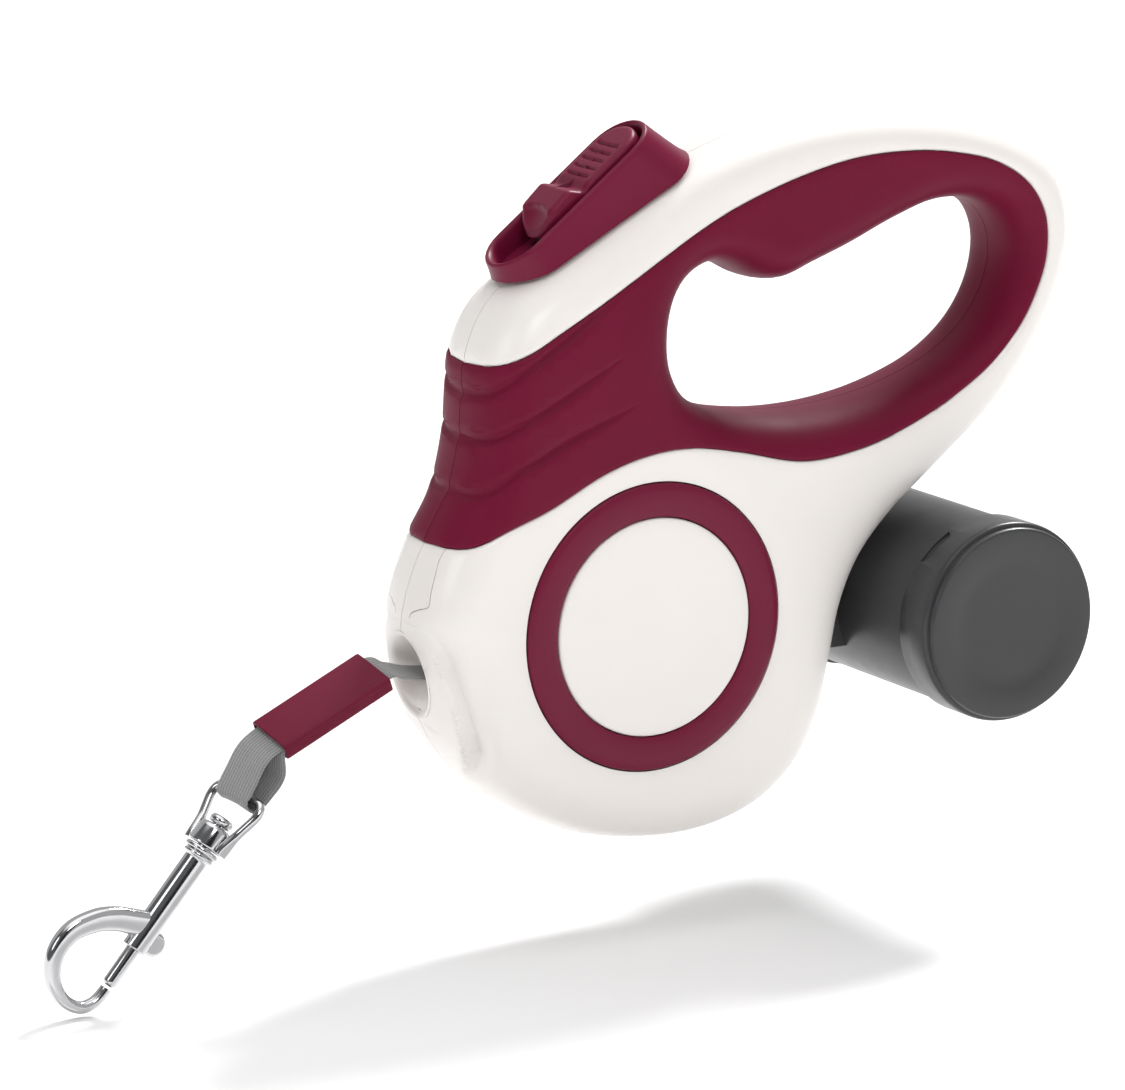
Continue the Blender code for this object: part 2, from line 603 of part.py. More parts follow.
def make_button(reel, maroon, nylon, steel):
    top = frame("button_frame", BUTTON_CENTRE, Matrix.Rotation(-BUTTON_SLOPE, 3, "Y"), reel)
    tilt = math.tan(BUTTON_SLOPE - LAND_SLOPE)
    floor = -8.6 * MM

    def base(x, y):
        """Height of the bezel's foot, which follows the crowned land."""
        return floor + 0.5 * MM - x * tilt - land_drop(y) * 0.98

    foot = [(x, y, base(x, y) + GAP) for x, y in stadium(BEZEL_LENGTH + 5 * MM, BEZEL_WIDTH + 1 * MM, 1.5 * MM)]
    rim = [(x, y, -0.7 * MM) for x, y in stadium(BEZEL_LENGTH, BEZEL_WIDTH - 1.4 * MM, 0)]
    crest = [(x, y, 0) for x, y in stadium(BEZEL_LENGTH - 1.2 * MM, BEZEL_WIDTH - 2.6 * MM, 0)]
    bezel = add("button_bezel", loft([foot, rim, crest]), top, maroon)
    well_top = [(x, y, 3 * MM) for x, y in stadium(BEZEL_LENGTH - 4 * MM, BUTTON_WIDTH + 2 * GAP, 0)]
    well_low = [(x, y, floor + 1.3 * MM - x * tilt) for x, y, _ in well_top]
    cut(bezel, add("button_well", loft([well_top, well_low]), top))
    cut(bezel, add("bezel_slot", block((-16 * MM, -4.4 * MM, -20 * MM), (10 * MM, 4.4 * MM, 2 * MM)), top))

    def crown(x):
        """Height of the button's top: a ribbed pad behind, a dip, and the lock hump in front."""
        hump = math.exp(-((x + 10.5 * MM) / (3.0 * MM)) ** 2) * 3.4 * MM
        dip = math.exp(-((x + 4 * MM) / (3.2 * MM)) ** 2) * 1.1 * MM
        nose = max(0.0, (-12.5 * MM - x) / (4 * MM)) * 2.6 * MM
        return 0.7 * MM + hump - dip - nose

    shift = 4.2 * MM
    outer = stadium(BUTTON_LENGTH, BUTTON_WIDTH, shift)
    # the top is a loft across the button, so that its crown follows the side view
    stations = sorted({round(x, 6) for x, _ in outer} | {-9e-3, -6e-3, -3e-3, 0.0, 4e-3, 8e-3})
    loops = []
    for x in stations:
        half = max(0.4 * MM, half_width(outer, x))
        side = max(0.2 * MM, half - 1.3 * MM)
        lift = crown(x)
        bottom = (-1.6 if x < -4 * MM else -3.2) * MM
        loops.append([(x, half, bottom), (x, half, lift - 1.1 * MM), (x, side, lift), (x, -side, lift),
                      (x, -half, lift - 1.1 * MM), (x, -half, bottom)])
    add("brake_button", loft(loops), top, maroon)

    carrier = add("button_carrier", block((-14 * MM, -4 * MM, -5.6 * MM), (8.6 * MM, 4 * MM, -3.5 * MM)),
                  top, nylon)
    fuse(carrier, add("carrier_leg", block((-13.2 * MM, -2.5 * MM, -27.5 * MM), (-9.6 * MM, 2.5 * MM, -4 * MM)),
                      top))
    seat = coil(2.2 * MM, 0.3 * MM, -15.6 * MM, -6.3 * MM, 4, "Z")
    spring = add("button_spring", seat, top, steel)
    spring.location = (4 * MM, 0, 0)


def half_width(loop, x):
    """Half the width of a stadium loop at x."""
    ends = [p[0] for p in loop]
    r = max(p[1] for p in loop)
    centre = min(max(x, min(ends) + r), max(ends) - r)
    return math.sqrt(max(r * r - (x - centre) ** 2, 0.0))


def make_brake(reel, nylon, steel):
    pin = add("pawl_pin", rod(1.6 * MM, -11.3 * MM, 11.3 * MM, sides=14), reel, steel)
    pin.location = PAWL_PIVOT
    lever = frame("lever_frame", PAWL_PIVOT, None, reel)
    outline = [(-3.4, -2.6), (0, -3.8), (8, -5.6), (15.2, -10.6), (17.6, -14.8), (19.6, -14.6), (20.8, -9.4),
               (22, -2), (25.2, 7.6), (23.6, 9.7), (18.4, 5.6), (8, 4.6), (0, 3.8), (-3.4, 2.6)]
    arm = add("brake_lever", prism(scaled(outline), -SPOOL_SIDE - 1.6 * MM, -SPOOL_SIDE + 3.2 * MM), lever, nylon)
    cut(arm, add("lever_bore", rod(1.6 * MM + GAP, -14 * MM, 4 * MM, sides=14), lever))
    pad = scaled([(18.4, 5.6), (20.2, 1.5), (25.2, 7.6), (23.6, 9.7)])
    fuse(arm, add("lever_pad", prism(pad, -6 * MM, 2.6 * MM), lever))


def make_tape(reel, tape, maroon):
    """The tape from the nozzle through the sleeve, round the eye's bar and back into the sleeve."""
    run = Vector(SLEEVE_END) - Vector(SLEEVE_START)
    along = run.normalized()
    over = Vector((0, 1, 0)).cross(along)
    if over.z < 0:
        over = -over
    bar = Vector(EYE_BAR)
    axis = Vector((-math.cos(SNAP_SLOPE), 0, -math.sin(SNAP_SLOPE)))
    lift = Vector((-axis.z, 0, axis.x))
    if lift.z < 0:
        lift = -lift
    wrap = 2.0 * MM
    route = [Vector((-45.5, 0, -7.2)) * MM, Vector((-51, 0, -6.9)) * MM, Vector((-56, 0, -5.8)) * MM,
             Vector(SLEEVE_START) + over * 0.45 * MM, Vector(SLEEVE_START) + run * 0.5 + over * 0.45 * MM,
             Vector(SLEEVE_END) + over * 0.45 * MM, bar - axis * 8.2 * MM + lift * 3.4 * MM,
             bar - axis * 3 * MM + lift * 2.6 * MM]
    for k in range(5):
        a = math.radians(70 - 35 * k)
        route.append(bar + lift * wrap * math.sin(a) + axis * wrap * math.cos(a))
    route += [bar - axis * 3 * MM - lift * 2.4 * MM, bar - axis * 8 * MM - lift * 2.2 * MM,
              Vector(SLEEVE_END) - over * 0.5 * MM, Vector(SLEEVE_END) - over * 0.5 * MM - along * 3 * MM,
              Vector(SLEEVE_END) - over * 0.5 * MM - along * 6 * MM]
    path = smooth_path(route, 3.2 * MM)
    flat = Vector((0, 1, 0))
    spin = Matrix.Rotation(-TAPE_ROLL, 3, along)
    on_sleeve, on_bar = spin @ flat, Matrix.Rotation(-TAPE_ROLL, 3, axis) @ flat

    def side(i):
        """Across the tape: level in the nozzle, rolled in the sleeve, and along the bar at the eye."""
        into = min(max((path[i] - route[0]).length / (16 * MM), 0), 1)
        off_bar = min(max(((path[i] - bar).length - 3 * MM) / (10 * MM), 0), 1)
        return on_bar.lerp(flat.lerp(on_sleeve, into), off_bar)

    w, h = TAPE_WIDTH / 2, TAPE_THICK / 2
    section = [(-w, -h), (w, -h), (w, h), (-w, h)]
    add("tape_lead", swept(path, lambda i: section, side), reel, tape)
    ends = [Vector(SLEEVE_START), Vector(SLEEVE_END)]
    outer = [(SLEEVE_WIDTH / 2 * c, SLEEVE_THICK / 2 * s) for c, s in
             ((-1, -0.4), (-0.9, -1), (0.9, -1), (1, -0.4), (1, 0.4), (0.9, 1), (-0.9, 1), (-1, 0.4))]
    bore = [(5.6 * MM * c, 1.45 * MM * s) for c, s in ((-1, -1), (1, -1), (1, 1), (-1, 1))]
    sleeve = add("tape_sleeve", swept(ends, lambda i: outer, lambda i: on_sleeve), reel, maroon)
    longer = [ends[0] - along * MM, ends[1] + along * MM]
    cut(sleeve, add("sleeve_bore", swept(longer, lambda i: bore, lambda i: on_sleeve), reel))


def make_snap(reel, chrome, steel):
    """Swivel eye, hook body, sprung bolt and knob; local X is the snap's axis, local Z is the hook's side."""
    turn = Matrix(((-math.cos(SNAP_SLOPE), 0, -math.sin(SNAP_SLOPE)), (0, -1, 0),
                   (-math.sin(SNAP_SLOPE), 0, math.cos(SNAP_SLOPE))))
    snap = frame("snap_frame", EYE_BAR, turn, reel)
    wire = 1.0 * MM
    corners = [(13.4, 4.9), (8.5, 5.7), (3.4, 7.2), (0.7, 6.9), (0, 5.6), (0, 0), (0, -5.6), (0.7, -6.9),
               (3.4, -7.2), (8.5, -5.7), (13.4, -4.9)]
    spin = Matrix.Rotation(-TAPE_ROLL, 3, "X")
    bow = smooth_path([spin @ Vector((x * MM, y * MM, 0)) for x, y in corners], 2.4 * MM)
    eye = add("snap_eye", swept(bow, lambda i: round_section(wire, wire, 8), lambda i: spin @ Vector((0, 0, 1))),
              snap, chrome)
    fuse(eye, add("eye_collar", turned([(0, 8.6 * MM), (3.4 * MM, 8.6 * MM), (4.4 * MM, 9.2 * MM),
                                        (4.6 * MM, 13.8 * MM), (0, 13.8 * MM)], "X", 20), snap))
    cut(eye, add("eye_bore", rod(2.0 * MM, 7 * MM, 16 * MM, "X", 14), snap))
    profile = [(0, 6.2 * MM), (2.6 * MM, 6.4 * MM), (2.9 * MM, 7.2 * MM), (2.6 * MM, 8.2 * MM),
               (1.7 * MM, 8.2 * MM), (1.7 * MM, 14.1 * MM), (3.9 * MM, 14.1 * MM), (4.1 * MM, 14.8 * MM),
               (3.9 * MM, 15.5 * MM), (BARREL_RADIUS, BARREL_FROM), (BARREL_RADIUS, BARREL_TO), (0, BARREL_TO)]
    body = add("snap_body", turned(profile, "X", 20), snap, chrome)
    hook_line = [(34.5, 0.9), (36.3, 5.6), (39.4, 11.2), (44.8, 15.4), (50.8, 15.5), (55.6, 12), (57.6, 7),
                 (56.6, 2.4), (53.8, 0.2), (50.2, 0)]
    hook_path = smooth_path([Vector((x * MM, 0, z * MM)) for x, z in hook_line], 3.6 * MM)

    def taper(i):
        t = i / (len(hook_path) - 1)
        return round_section((1.9 - 0.35 * t) * MM, (2.7 - 1.2 * t) * MM, 8)

    fuse(body, add("hook_bow", swept(hook_path, taper, lambda i: Vector((0, 1, 0))), snap))
    cut(body, add("barrel_bore", rod(BARREL_BORE, 20 * MM, 48 * MM, "X", 14), snap))
    cut(body, add("knob_slot", block((26 * MM, -0.9 * MM, -5 * MM), (39 * MM, 0.9 * MM, 0)), snap))
    add("snap_bolt", turned([(0, 31 * MM), (BOLT_RADIUS, 31 * MM), (BOLT_RADIUS, BOLT_TIP - 0.8 * MM),
                             (1.1 * MM, BOLT_TIP), (0, BOLT_TIP)], "X", 14), snap, chrome)
    knob = add("bolt_knob", turned([(0, -5.4 * MM), (1.7 * MM, -5.4 * MM), (2.2 * MM, -4.8 * MM),
                                    (2.2 * MM, -3.5 * MM), (0.6 * MM, -3.1 * MM),
                                    (0.6 * MM, -BOLT_RADIUS - 0.15 * MM), (0, -BOLT_RADIUS - 0.15 * MM)],
                                   "Z", 14), snap, chrome)
    knob.location = (37.4 * MM, 0, 0)
    add("bolt_spring", coil(1.3 * MM, 0.2 * MM, 20.6 * MM, 30.6 * MM, 4, "X"), snap, steel)


def make_dispenser(reel, dark, bag, card, steel):
    can = frame("dispenser_frame", CAN_CENTRE, None, reel)
    cap_end = CAN_HALF
    inner_end = CAN_HALF - 2 * MM
    barrel = add("dispenser_barrel", tube(BARREL_OUT, CAN_BARREL_IN, -inner_end + GAP, inner_end - GAP),
                 can, dark)
    cut(barrel, add("bag_slit", block((-2 * MM, -12 * MM, -24 * MM), (2 * MM, 12 * MM, -15 * MM)), can))
    for side, name in ((-1, "dispenser_cap"), (1, "dispenser_end_cap")):
        profile = [(0, side * cap_end), (CAP_RADIUS - 2.6 * MM, side * cap_end),
                   (CAP_RADIUS - 0.8 * MM, side * (cap_end - 0.8 * MM)), (CAP_RADIUS, side * (cap_end - 2.6 * MM)),
                   (CAP_RADIUS, side * (cap_end - CAP_SKIRT)), (BARREL_OUT + GAP, side * (cap_end - CAP_SKIRT)),
                   (BARREL_OUT + GAP, side * inner_end), (0, side * inner_end)]
        add(name, turned(profile), can, dark)
    add("bag_roll", tube(16.5 * MM, 6.8 * MM, -30 * MM, 30 * MM, sides=24), can, bag)
    add("bag_roll_core", tube(6.5 * MM, 5.5 * MM, -31 * MM, 31 * MM, sides=20), can, card)
    reach = CAN_CENTRE[0]
    saddle = add("dispenser_bracket", block((51.5 * MM, 0, -15 * MM), (62 * MM, 12 * MM, 3 * MM)), reel, dark)
    hollow = add("bracket_hollow", rod(BARREL_OUT + GAP, -20 * MM, 20 * MM, sides=32), reel)
    hollow.location = (reach, 0, CAN_CENTRE[2])
    cut(saddle, hollow)
    loops = edge_loops(HOUSING_STEP)
    rim = [tuple(line + normal * -0.35 * MM) for line, normal in zip(*loops[0])]
    cut(saddle, add("bracket_rim", prism(rim, -20 * MM, 20 * MM), reel))
    hole = add("bracket_hole", rod(BRACKET_SCREW + GAP, 40 * MM, 75 * MM, "X", 12), reel)
    hole.location = BRACKET_SCREW_AT
    cut(saddle, hole)
    cut(barrel, hole)
    cut(bpy.data.objects["right_shell"], hole)
    head = [(0, 47 * MM), (BRACKET_SCREW, 47 * MM), (BRACKET_SCREW, 60.8 * MM), (2.4 * MM, 60.8 * MM),
            (2.2 * MM, 62.4 * MM), (0, 62.4 * MM)]
    screw = add("bracket_screw", turned(head, "X", 12), reel, steel)
    screw.location = BRACKET_SCREW_AT


def main():
    clear_scene()
    white = material("white_abs", (0.87, 0.84, 0.80), 0.35)
    grip_mat = material("maroon_soft_grip", (0.22, 0.02, 0.05), 0.55)
    maroon = material("maroon_plastic", (0.24, 0.02, 0.06), 0.4)
    sleeve = material("maroon_sleeve", (0.20, 0.025, 0.05), 0.6)
    tape = material("grey_webbing", (0.26, 0.26, 0.26), 0.9)
    chrome = material("chrome", (0.8, 0.8, 0.8), 0.12, 1.0)
    steel = material("spring_steel", (0.45, 0.46, 0.48), 0.35, 1.0)
    nylon = material("black_nylon", (0.05, 0.05, 0.055), 0.5)
    dark = material("dark_grey_plastic", (0.07, 0.07, 0.072), 0.3)
    bag = material("bag_film", (0.03, 0.03, 0.03), 0.4)
    card = material("card", (0.4, 0.3, 0.2), 0.9)

    reel = frame("reel_frame", REEL_AXIS)
    make_housing(reel, white, grip_mat, steel)
    make_nozzle(reel, white)
    make_trim(reel, white, maroon)
    make_reel(reel, nylon, tape, steel)
    make_button(reel, maroon, nylon, steel)
    make_brake(reel, nylon, steel)
    make_tape(reel, tape, sleeve)
    make_snap(reel, chrome, steel)
    make_dispenser(reel, dark, bag, card, steel)


main()
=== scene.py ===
"""Looks of the retractable leash: moulded shells, soft grip, webbing, snap and bag dispenser."""
import json
import math

import bmesh
import bpy
import numpy as np
from mathutils import Matrix, Vector
from mathutils.geometry import delaunay_2d_cdt

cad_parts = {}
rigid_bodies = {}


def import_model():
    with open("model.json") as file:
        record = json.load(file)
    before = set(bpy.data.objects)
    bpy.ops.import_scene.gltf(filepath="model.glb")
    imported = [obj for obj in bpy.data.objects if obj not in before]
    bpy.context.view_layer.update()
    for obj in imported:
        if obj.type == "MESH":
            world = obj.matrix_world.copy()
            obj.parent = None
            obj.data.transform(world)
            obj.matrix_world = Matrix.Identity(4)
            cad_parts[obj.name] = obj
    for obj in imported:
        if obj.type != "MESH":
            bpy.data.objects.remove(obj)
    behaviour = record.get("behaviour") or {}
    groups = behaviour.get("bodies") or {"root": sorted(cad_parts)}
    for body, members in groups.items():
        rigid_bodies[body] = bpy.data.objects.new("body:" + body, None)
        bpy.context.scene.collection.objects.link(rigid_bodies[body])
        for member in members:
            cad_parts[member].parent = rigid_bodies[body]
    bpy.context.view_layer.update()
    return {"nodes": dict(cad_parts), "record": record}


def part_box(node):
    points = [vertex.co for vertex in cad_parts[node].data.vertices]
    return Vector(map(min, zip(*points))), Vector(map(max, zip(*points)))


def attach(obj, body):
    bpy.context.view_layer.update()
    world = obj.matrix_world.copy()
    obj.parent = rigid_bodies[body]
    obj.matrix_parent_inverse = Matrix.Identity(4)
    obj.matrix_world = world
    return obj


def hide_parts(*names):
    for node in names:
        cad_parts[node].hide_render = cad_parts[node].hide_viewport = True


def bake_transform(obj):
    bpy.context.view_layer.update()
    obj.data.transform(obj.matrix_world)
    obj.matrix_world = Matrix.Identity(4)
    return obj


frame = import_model()
cad = frame["nodes"]

MM = 0.001

# ---- Places read from the frame ----
disc_low, disc_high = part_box("left_side_disc")
REEL = Vector(((disc_low.x + disc_high.x) / 2, 0, (disc_low.z + disc_high.z) / 2))
cap_low, cap_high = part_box("dispenser_cap")
CAN = Vector(((cap_low.x + cap_high.x) / 2, 0, (cap_low.z + cap_high.z) / 2))
CAN_HALF, CAP_RADIUS = -cap_low.y, (cap_high.x - cap_low.x) / 2
AT_REEL, AT_CAN = Matrix.Translation(REEL), Matrix.Translation(CAN)
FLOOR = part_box("snap_body")[0].z - 0.5 * MM

# ---- Housing: the same surface as the CAD's, in millimetres from the reel's axis ----
BODY_HALF, HANDLE_HALF = 15.8 * MM, 13.0 * MM
BODY_EDGE, HANDLE_EDGE, EDGE_POWER = 11.0 * MM, 8.2 * MM, 2.4
THIN_FROM, THIN_TO = 58.0 * MM, 98.0 * MM
WALL = 2.2 * MM
GRIP_THICK, GRIP_GAP = 1.5 * MM, 0.14 * MM
GRIP_RECESS, GRIP_WALL = 1.8 * MM, 3.6 * MM
PARTING = 0.09 * MM                # half of the gap between the two shells

OUTLINE = [(2, -50), (-14, -46.8), (-30, -39.2), (-43.5, -27.5), (-51.3, -14), (-54.3, 0), (-52.9, 11),
           (-48.3, 22), (-42.8, 31.5), (-39.8, 43), (-39, 53), (-38.2, 61.5), (-34.6, 69.8),
           (-28.5, 76), (-16, 83), (0, 91.8), (14, 98.8), (28, 103.6), (42, 106.4), (55, 107.4),
           (68, 107), (81, 105.2), (93, 102), (103, 97.2), (110.5, 90.2), (114.2, 80), (113.2, 69.5),
           (109, 58), (101, 45.6), (91, 35), (78, 25), (66.5, 16.5), (58, 7.5), (53.2, -2.5),
           (50.6, -14), (47.2, -27), (40.5, -38.5), (30, -46.3), (16.5, -50)]
HOLE = [(13, 74.6), (19, 77), (25, 75.6), (31, 72.6), (37.5, 71.8), (45, 74.2), (55, 77.6), (66, 82),
        (77, 85.3), (87, 85.2), (94.2, 81.4), (97.6, 74), (96.3, 65), (91, 56.6), (82, 49.8),
        (70, 45), (57, 42.2), (43, 41.3), (30, 42.3), (19, 44.8), (12, 49.2), (8.4, 55.8),
        (7.8, 63), (9.4, 70)]
# The grip's edge, run once round; its ends lie outside the outline, so the grip wraps the neck.
SEAM = [(-56, 22), (-49, 21.6), (-43.5, 22.4), (-36, 25.6), (-26, 29), (-13, 35), (-2, 38),
        (9, 38.6), (22, 36.4), (38, 32.6), (52, 33.4), (65, 36.4), (78, 41.3), (89.5, 48), (98, 56.6),
        (103, 66), (104.8, 74), (103.8, 82), (99, 89), (90.5, 94.2), (80, 97), (68, 98.4),
        (53.5, 98), (38.5, 95), (23, 90), (12, 85.2), (-2, 77.8), (-12, 72.4), (-22, 67.4),
        (-32, 62.4), (-41.3, 58.8), (-47, 58), (-54, 58)]
SCREWS = [(-30.5, 40.5), (-1, 73), (29, 88), (107.4, 78), (60, 27)]
HEAD_HOLE = 2.4 * MM
WINDOW = 32.2 * MM
HOUSING_STEP = 1.5 * MM
EDGE_ROWS = 13                     # rows of points round the rounded edge

# Finger lines pressed into the grip, which fade out towards the hole
GRIP_GROOVES = [
    [(-41, 52.5), (-38.6, 53.6), (-36.8, 55.2), (-33.9, 57.8), (-30.4, 60.1), (-22.6, 64.7), (-15.1, 69.4),
     (-6.8, 74.6)],
    [(-42, 43), (-39.2, 44), (-37.2, 45.1), (-34.1, 47.1), (-30.7, 48.9), (-22.9, 52.5), (-15.4, 56.3),
     (-7.9, 60.7)],
    [(-45.5, 32.5), (-42.2, 32.3), (-40.4, 32.9), (-37.3, 35.1), (-33.5, 37.9), (-27.7, 40.4), (-21.7, 43.2),
     (-12.5, 46.6), (-3.7, 50.2)]]
GROOVE_HALF, GROOVE_DEEP = 1.25 * MM, 0.85 * MM
# The joint of the nozzle insert, cut as a fine line
INSERT_JOINT = [(-45.6, 25.2), (-46.2, 24), (-48.3, 20.2), (-49.4, 17.9), (-51.2, 13.1), (-52.2, 9.4),
                (-52.6, 8.9), (-53.0, 8.6), (-53.6, 7.5), (-53.9, 6.2)]
JOINT_HALF, JOINT_DEEP = 0.11 * MM, 0.5 * MM

# Nozzle: a pad on the front, ringed by a valley, with a funnel round the tape's slit (y and z)
PAD_CENTRE, PAD_HALF = -11.5 * MM, (12.2 * MM, 19.5 * MM)
FUNNEL_CENTRE, FUNNEL_HALF = -7.2 * MM, (7.2 * MM, 8.6 * MM)
SLIT_HALF, SLIT_CENTRE, SLIT_X = (5.7 * MM, 1.25 * MM), -7.1 * MM, -46.6 * MM
LIP_DEEP, LIP_REACH, LIP_PROUD = 0.8 * MM, 0.16, 0.16 * MM     # the reach is a share of the funnel's size
VALLEY_DEEP, FRONT_X = 3.8 * MM, -45 * MM
PAD_RINGS = (0.94, 1.0, 1.035, 1.07, 1.105, 1.14, 1.19, 1.26, 1.34)

# ---- Sections of turned pieces, in millimetres ----
RING_OUT, RING_IN, TRIM_FACE, DISC_FACE, TRIM_BACK = 31.9, 24.4, 16.3, 16.6, 13.6
BARREL_END, BARREL_RADIUS, BARREL_BORE = 40.0, 2.75, 1.95
BOLT_TIP, BOLT_RADIUS = 49.4, 1.6
CAP_SKIRT, CAP_BORE, TUBE_RADIUS, TUBE_BORE = 11.6, 21.2, 21.6, 19.1

# ---- Button, tape and snap ----
BUTTON_CENTRE, BUTTON_SLOPE = Vector((-13.2, 0, 94.4)) * MM, math.radians(37.5)
AT_BUTTON = Matrix.Translation(REEL + BUTTON_CENTRE) @ Matrix.Rotation(-BUTTON_SLOPE, 4, "Y")
LAND_SLOPE = math.radians(28.0)
BEZEL_LENGTH, BEZEL_WIDTH = 47.0 * MM, 18.0 * MM
BUTTON_LENGTH, BUTTON_WIDTH, BUTTON_SHIFT = 33.0 * MM, 12.6 * MM, 4.2 * MM
PAD_TOP, TONGUE_EDGE = 1.0 * MM, -6.3 * MM
RECESS_FLOOR, BUTTON_TRAVEL, LOCK_TRAVEL = 0.6 * MM, 2.2 * MM, 5.0 * MM
EYE_BAR = Vector((-93.3, 0, -28.0)) * MM
SNAP_SLOPE, TAPE_ROLL = math.radians(49.0), math.radians(18.0)
SLEEVE_START, SLEEVE_END = Vector((-60.6, 0, -5.4)) * MM, Vector((-86.2, 0, -17.2)) * MM
SLEEVE_WIDTH, SLEEVE_THICK = 12.4 * MM, 3.8 * MM
TAPE_WIDTH, TAPE_THICK = 10.0 * MM, 0.6 * MM

# ---- Studio: area lights as name, place, size and power; the sun; the ceiling's glow ----
LIGHTS = [("key", (-0.35, -0.95, 0.75), 0.5, 3.6), ("fill", (-0.95, -0.15, 0.35), 0.4, 1.2)]
LIGHTS_AIM, SUN_FROM, SUN_POWER, CEILING = Vector((-0.03, 0, -0.06)), Vector((0.66, 0.34, 0.80)), 3.4, 1.8


# ---- Camera: left and a little above, level, with a long lens ----
def make_camera():
    azimuth, elevation, distance = math.radians(-31.0), math.radians(12.9), 1.3
    aside, raised = -20.09 * MM, 17.92 * MM         # the picture's middle, from the near disc's middle
    back = Vector((math.sin(azimuth) * math.cos(elevation), -math.cos(azimuth) * math.cos(elevation),
                   math.sin(elevation)))
    right = Vector((math.cos(azimuth), math.sin(azimuth), 0))
    up = back.cross(right)
    place = REEL + Vector((0, -16, 0)) * MM + back * distance + right * aside + up * raised
    camera = bpy.data.objects.new("camera", bpy.data.cameras.new("camera"))
    camera.data.lens, camera.data.sensor_width = 192.0, 36.0
    camera.data.sensor_fit = "HORIZONTAL"
    camera.matrix_world = Matrix.Translation(place) @ Matrix((right, up, back)).transposed().to_4x4()
    bpy.context.scene.collection.objects.link(camera)
    bpy.context.scene.camera = camera


# ---- Materials ----
def feed(target, **inputs):
    """Sets a node's inputs, each to a value or to another node's output."""
    for name, value in inputs.items():
        socket = target.inputs[name.replace("_", " ")]
        if isinstance(value, bpy.types.NodeSocket):
            target.id_data.links.new(value, socket)
        else:
            socket.default_value = value
    return target


def node(tree, kind, **inputs):
    return feed(tree.nodes.new(kind), **inputs)


def object_coords(tree):
    return node(tree, "ShaderNodeTexCoord").outputs["Object"]


def new_material(name, roughness, metallic=0.0):
    mat = bpy.data.materials.new(name)
    mat.use_nodes = True
    shader = mat.node_tree.nodes["Principled BSDF"]
    return mat, mat.node_tree, feed(shader, Metallic=metallic, Roughness=roughness)


def ramp(tree, factor, stops):
    """A colour ramp over a factor output; stops are (position, colour)."""
    made = tree.nodes.new("ShaderNodeValToRGB")
    elements = made.color_ramp.elements
    while len(elements) < len(stops):
        elements.new(0.5)
    for element, (position, colour) in zip(elements, stops):
        element.position = position
        element.color = (*colour, 1)
    return feed(made, Fac=factor).outputs["Color"]


def spread(tree, factor, low, high):
    """Maps a 0..1 output to low..high."""
    return node(tree, "ShaderNodeMapRange", Value=factor, To_Min=low, To_Max=high).outputs["Result"]


def noise(tree, coords, scale, detail=3.0):
    return node(tree, "ShaderNodeTexNoise", Vector=coords, Scale=scale, Detail=detail).outputs["Fac"]


def bump(tree, height, strength, distance, **base):
    made = node(tree, "ShaderNodeBump", Height=height, Strength=strength, Distance=distance, **base)
    return made.outputs["Normal"]


def shades(colour, change):
    return tuple(min(1.0, c * change) for c in colour)


def moulded(name, colour, roughness, grain, depth, change, coat=0.0, sheen=0.0, shine=0.5):
    """Moulded plastic or rubber: faint flow marks and spark-eroded grain."""
    mat, tree, shader = new_material(name, roughness)
    coords = object_coords(tree)
    flow = noise(tree, coords, 38.0, 4.0)
    tint = ramp(tree, flow, [(0.3, shades(colour, 1 - change)), (0.7, shades(colour, 1 + change))])
    feed(shader, Base_Color=tint,
         Roughness=spread(tree, noise(tree, coords, 210.0), roughness - 0.06, roughness + 0.06),
         Specular_IOR_Level=shine, Normal=bump(tree, noise(tree, coords, grain, 2.0), 0.35, depth))
    if coat:
        feed(shader, Coat_Weight=coat, Coat_Roughness=0.18)
    if sheen:
        feed(shader, Sheen_Weight=sheen, Sheen_Roughness=0.5)
    return mat


def polished(name, colour, roughness, brushed=0.0):
    """Plated or bright metal with faint smears and, if brushed, fine lines along X."""
    mat, tree, shader = new_material(name, roughness, 1.0)
    coords = object_coords(tree)
    smear = noise(tree, coords, 160.0, 5.0)
    normal = bump(tree, noise(tree, coords, 900.0, 4.0), 0.12, 0.00002)
    if brushed:
        stretch = node(tree, "ShaderNodeMapping", Vector=coords, Scale=(30, 2400, 2400))
        lines = noise(tree, stretch.outputs["Vector"], 1.0)
        normal = bump(tree, lines, brushed, 0.00002, Normal=normal)
    feed(shader, Base_Color=ramp(tree, smear, [(0.3, shades(colour, 0.93)), (0.7, colour)]),
         Roughness=spread(tree, smear, roughness * 0.6, roughness * 1.5), Normal=normal)
    return mat


def maths(tree, operation, *values):
    """The result of a math node; each value is a number or another node's output."""
    made = node(tree, "ShaderNodeMath")
    made.operation = operation
    for socket, value in zip(made.inputs, values):
        if isinstance(value, float):
            socket.default_value = value
        else:
            tree.links.new(value, socket)
    return made.outputs[0]


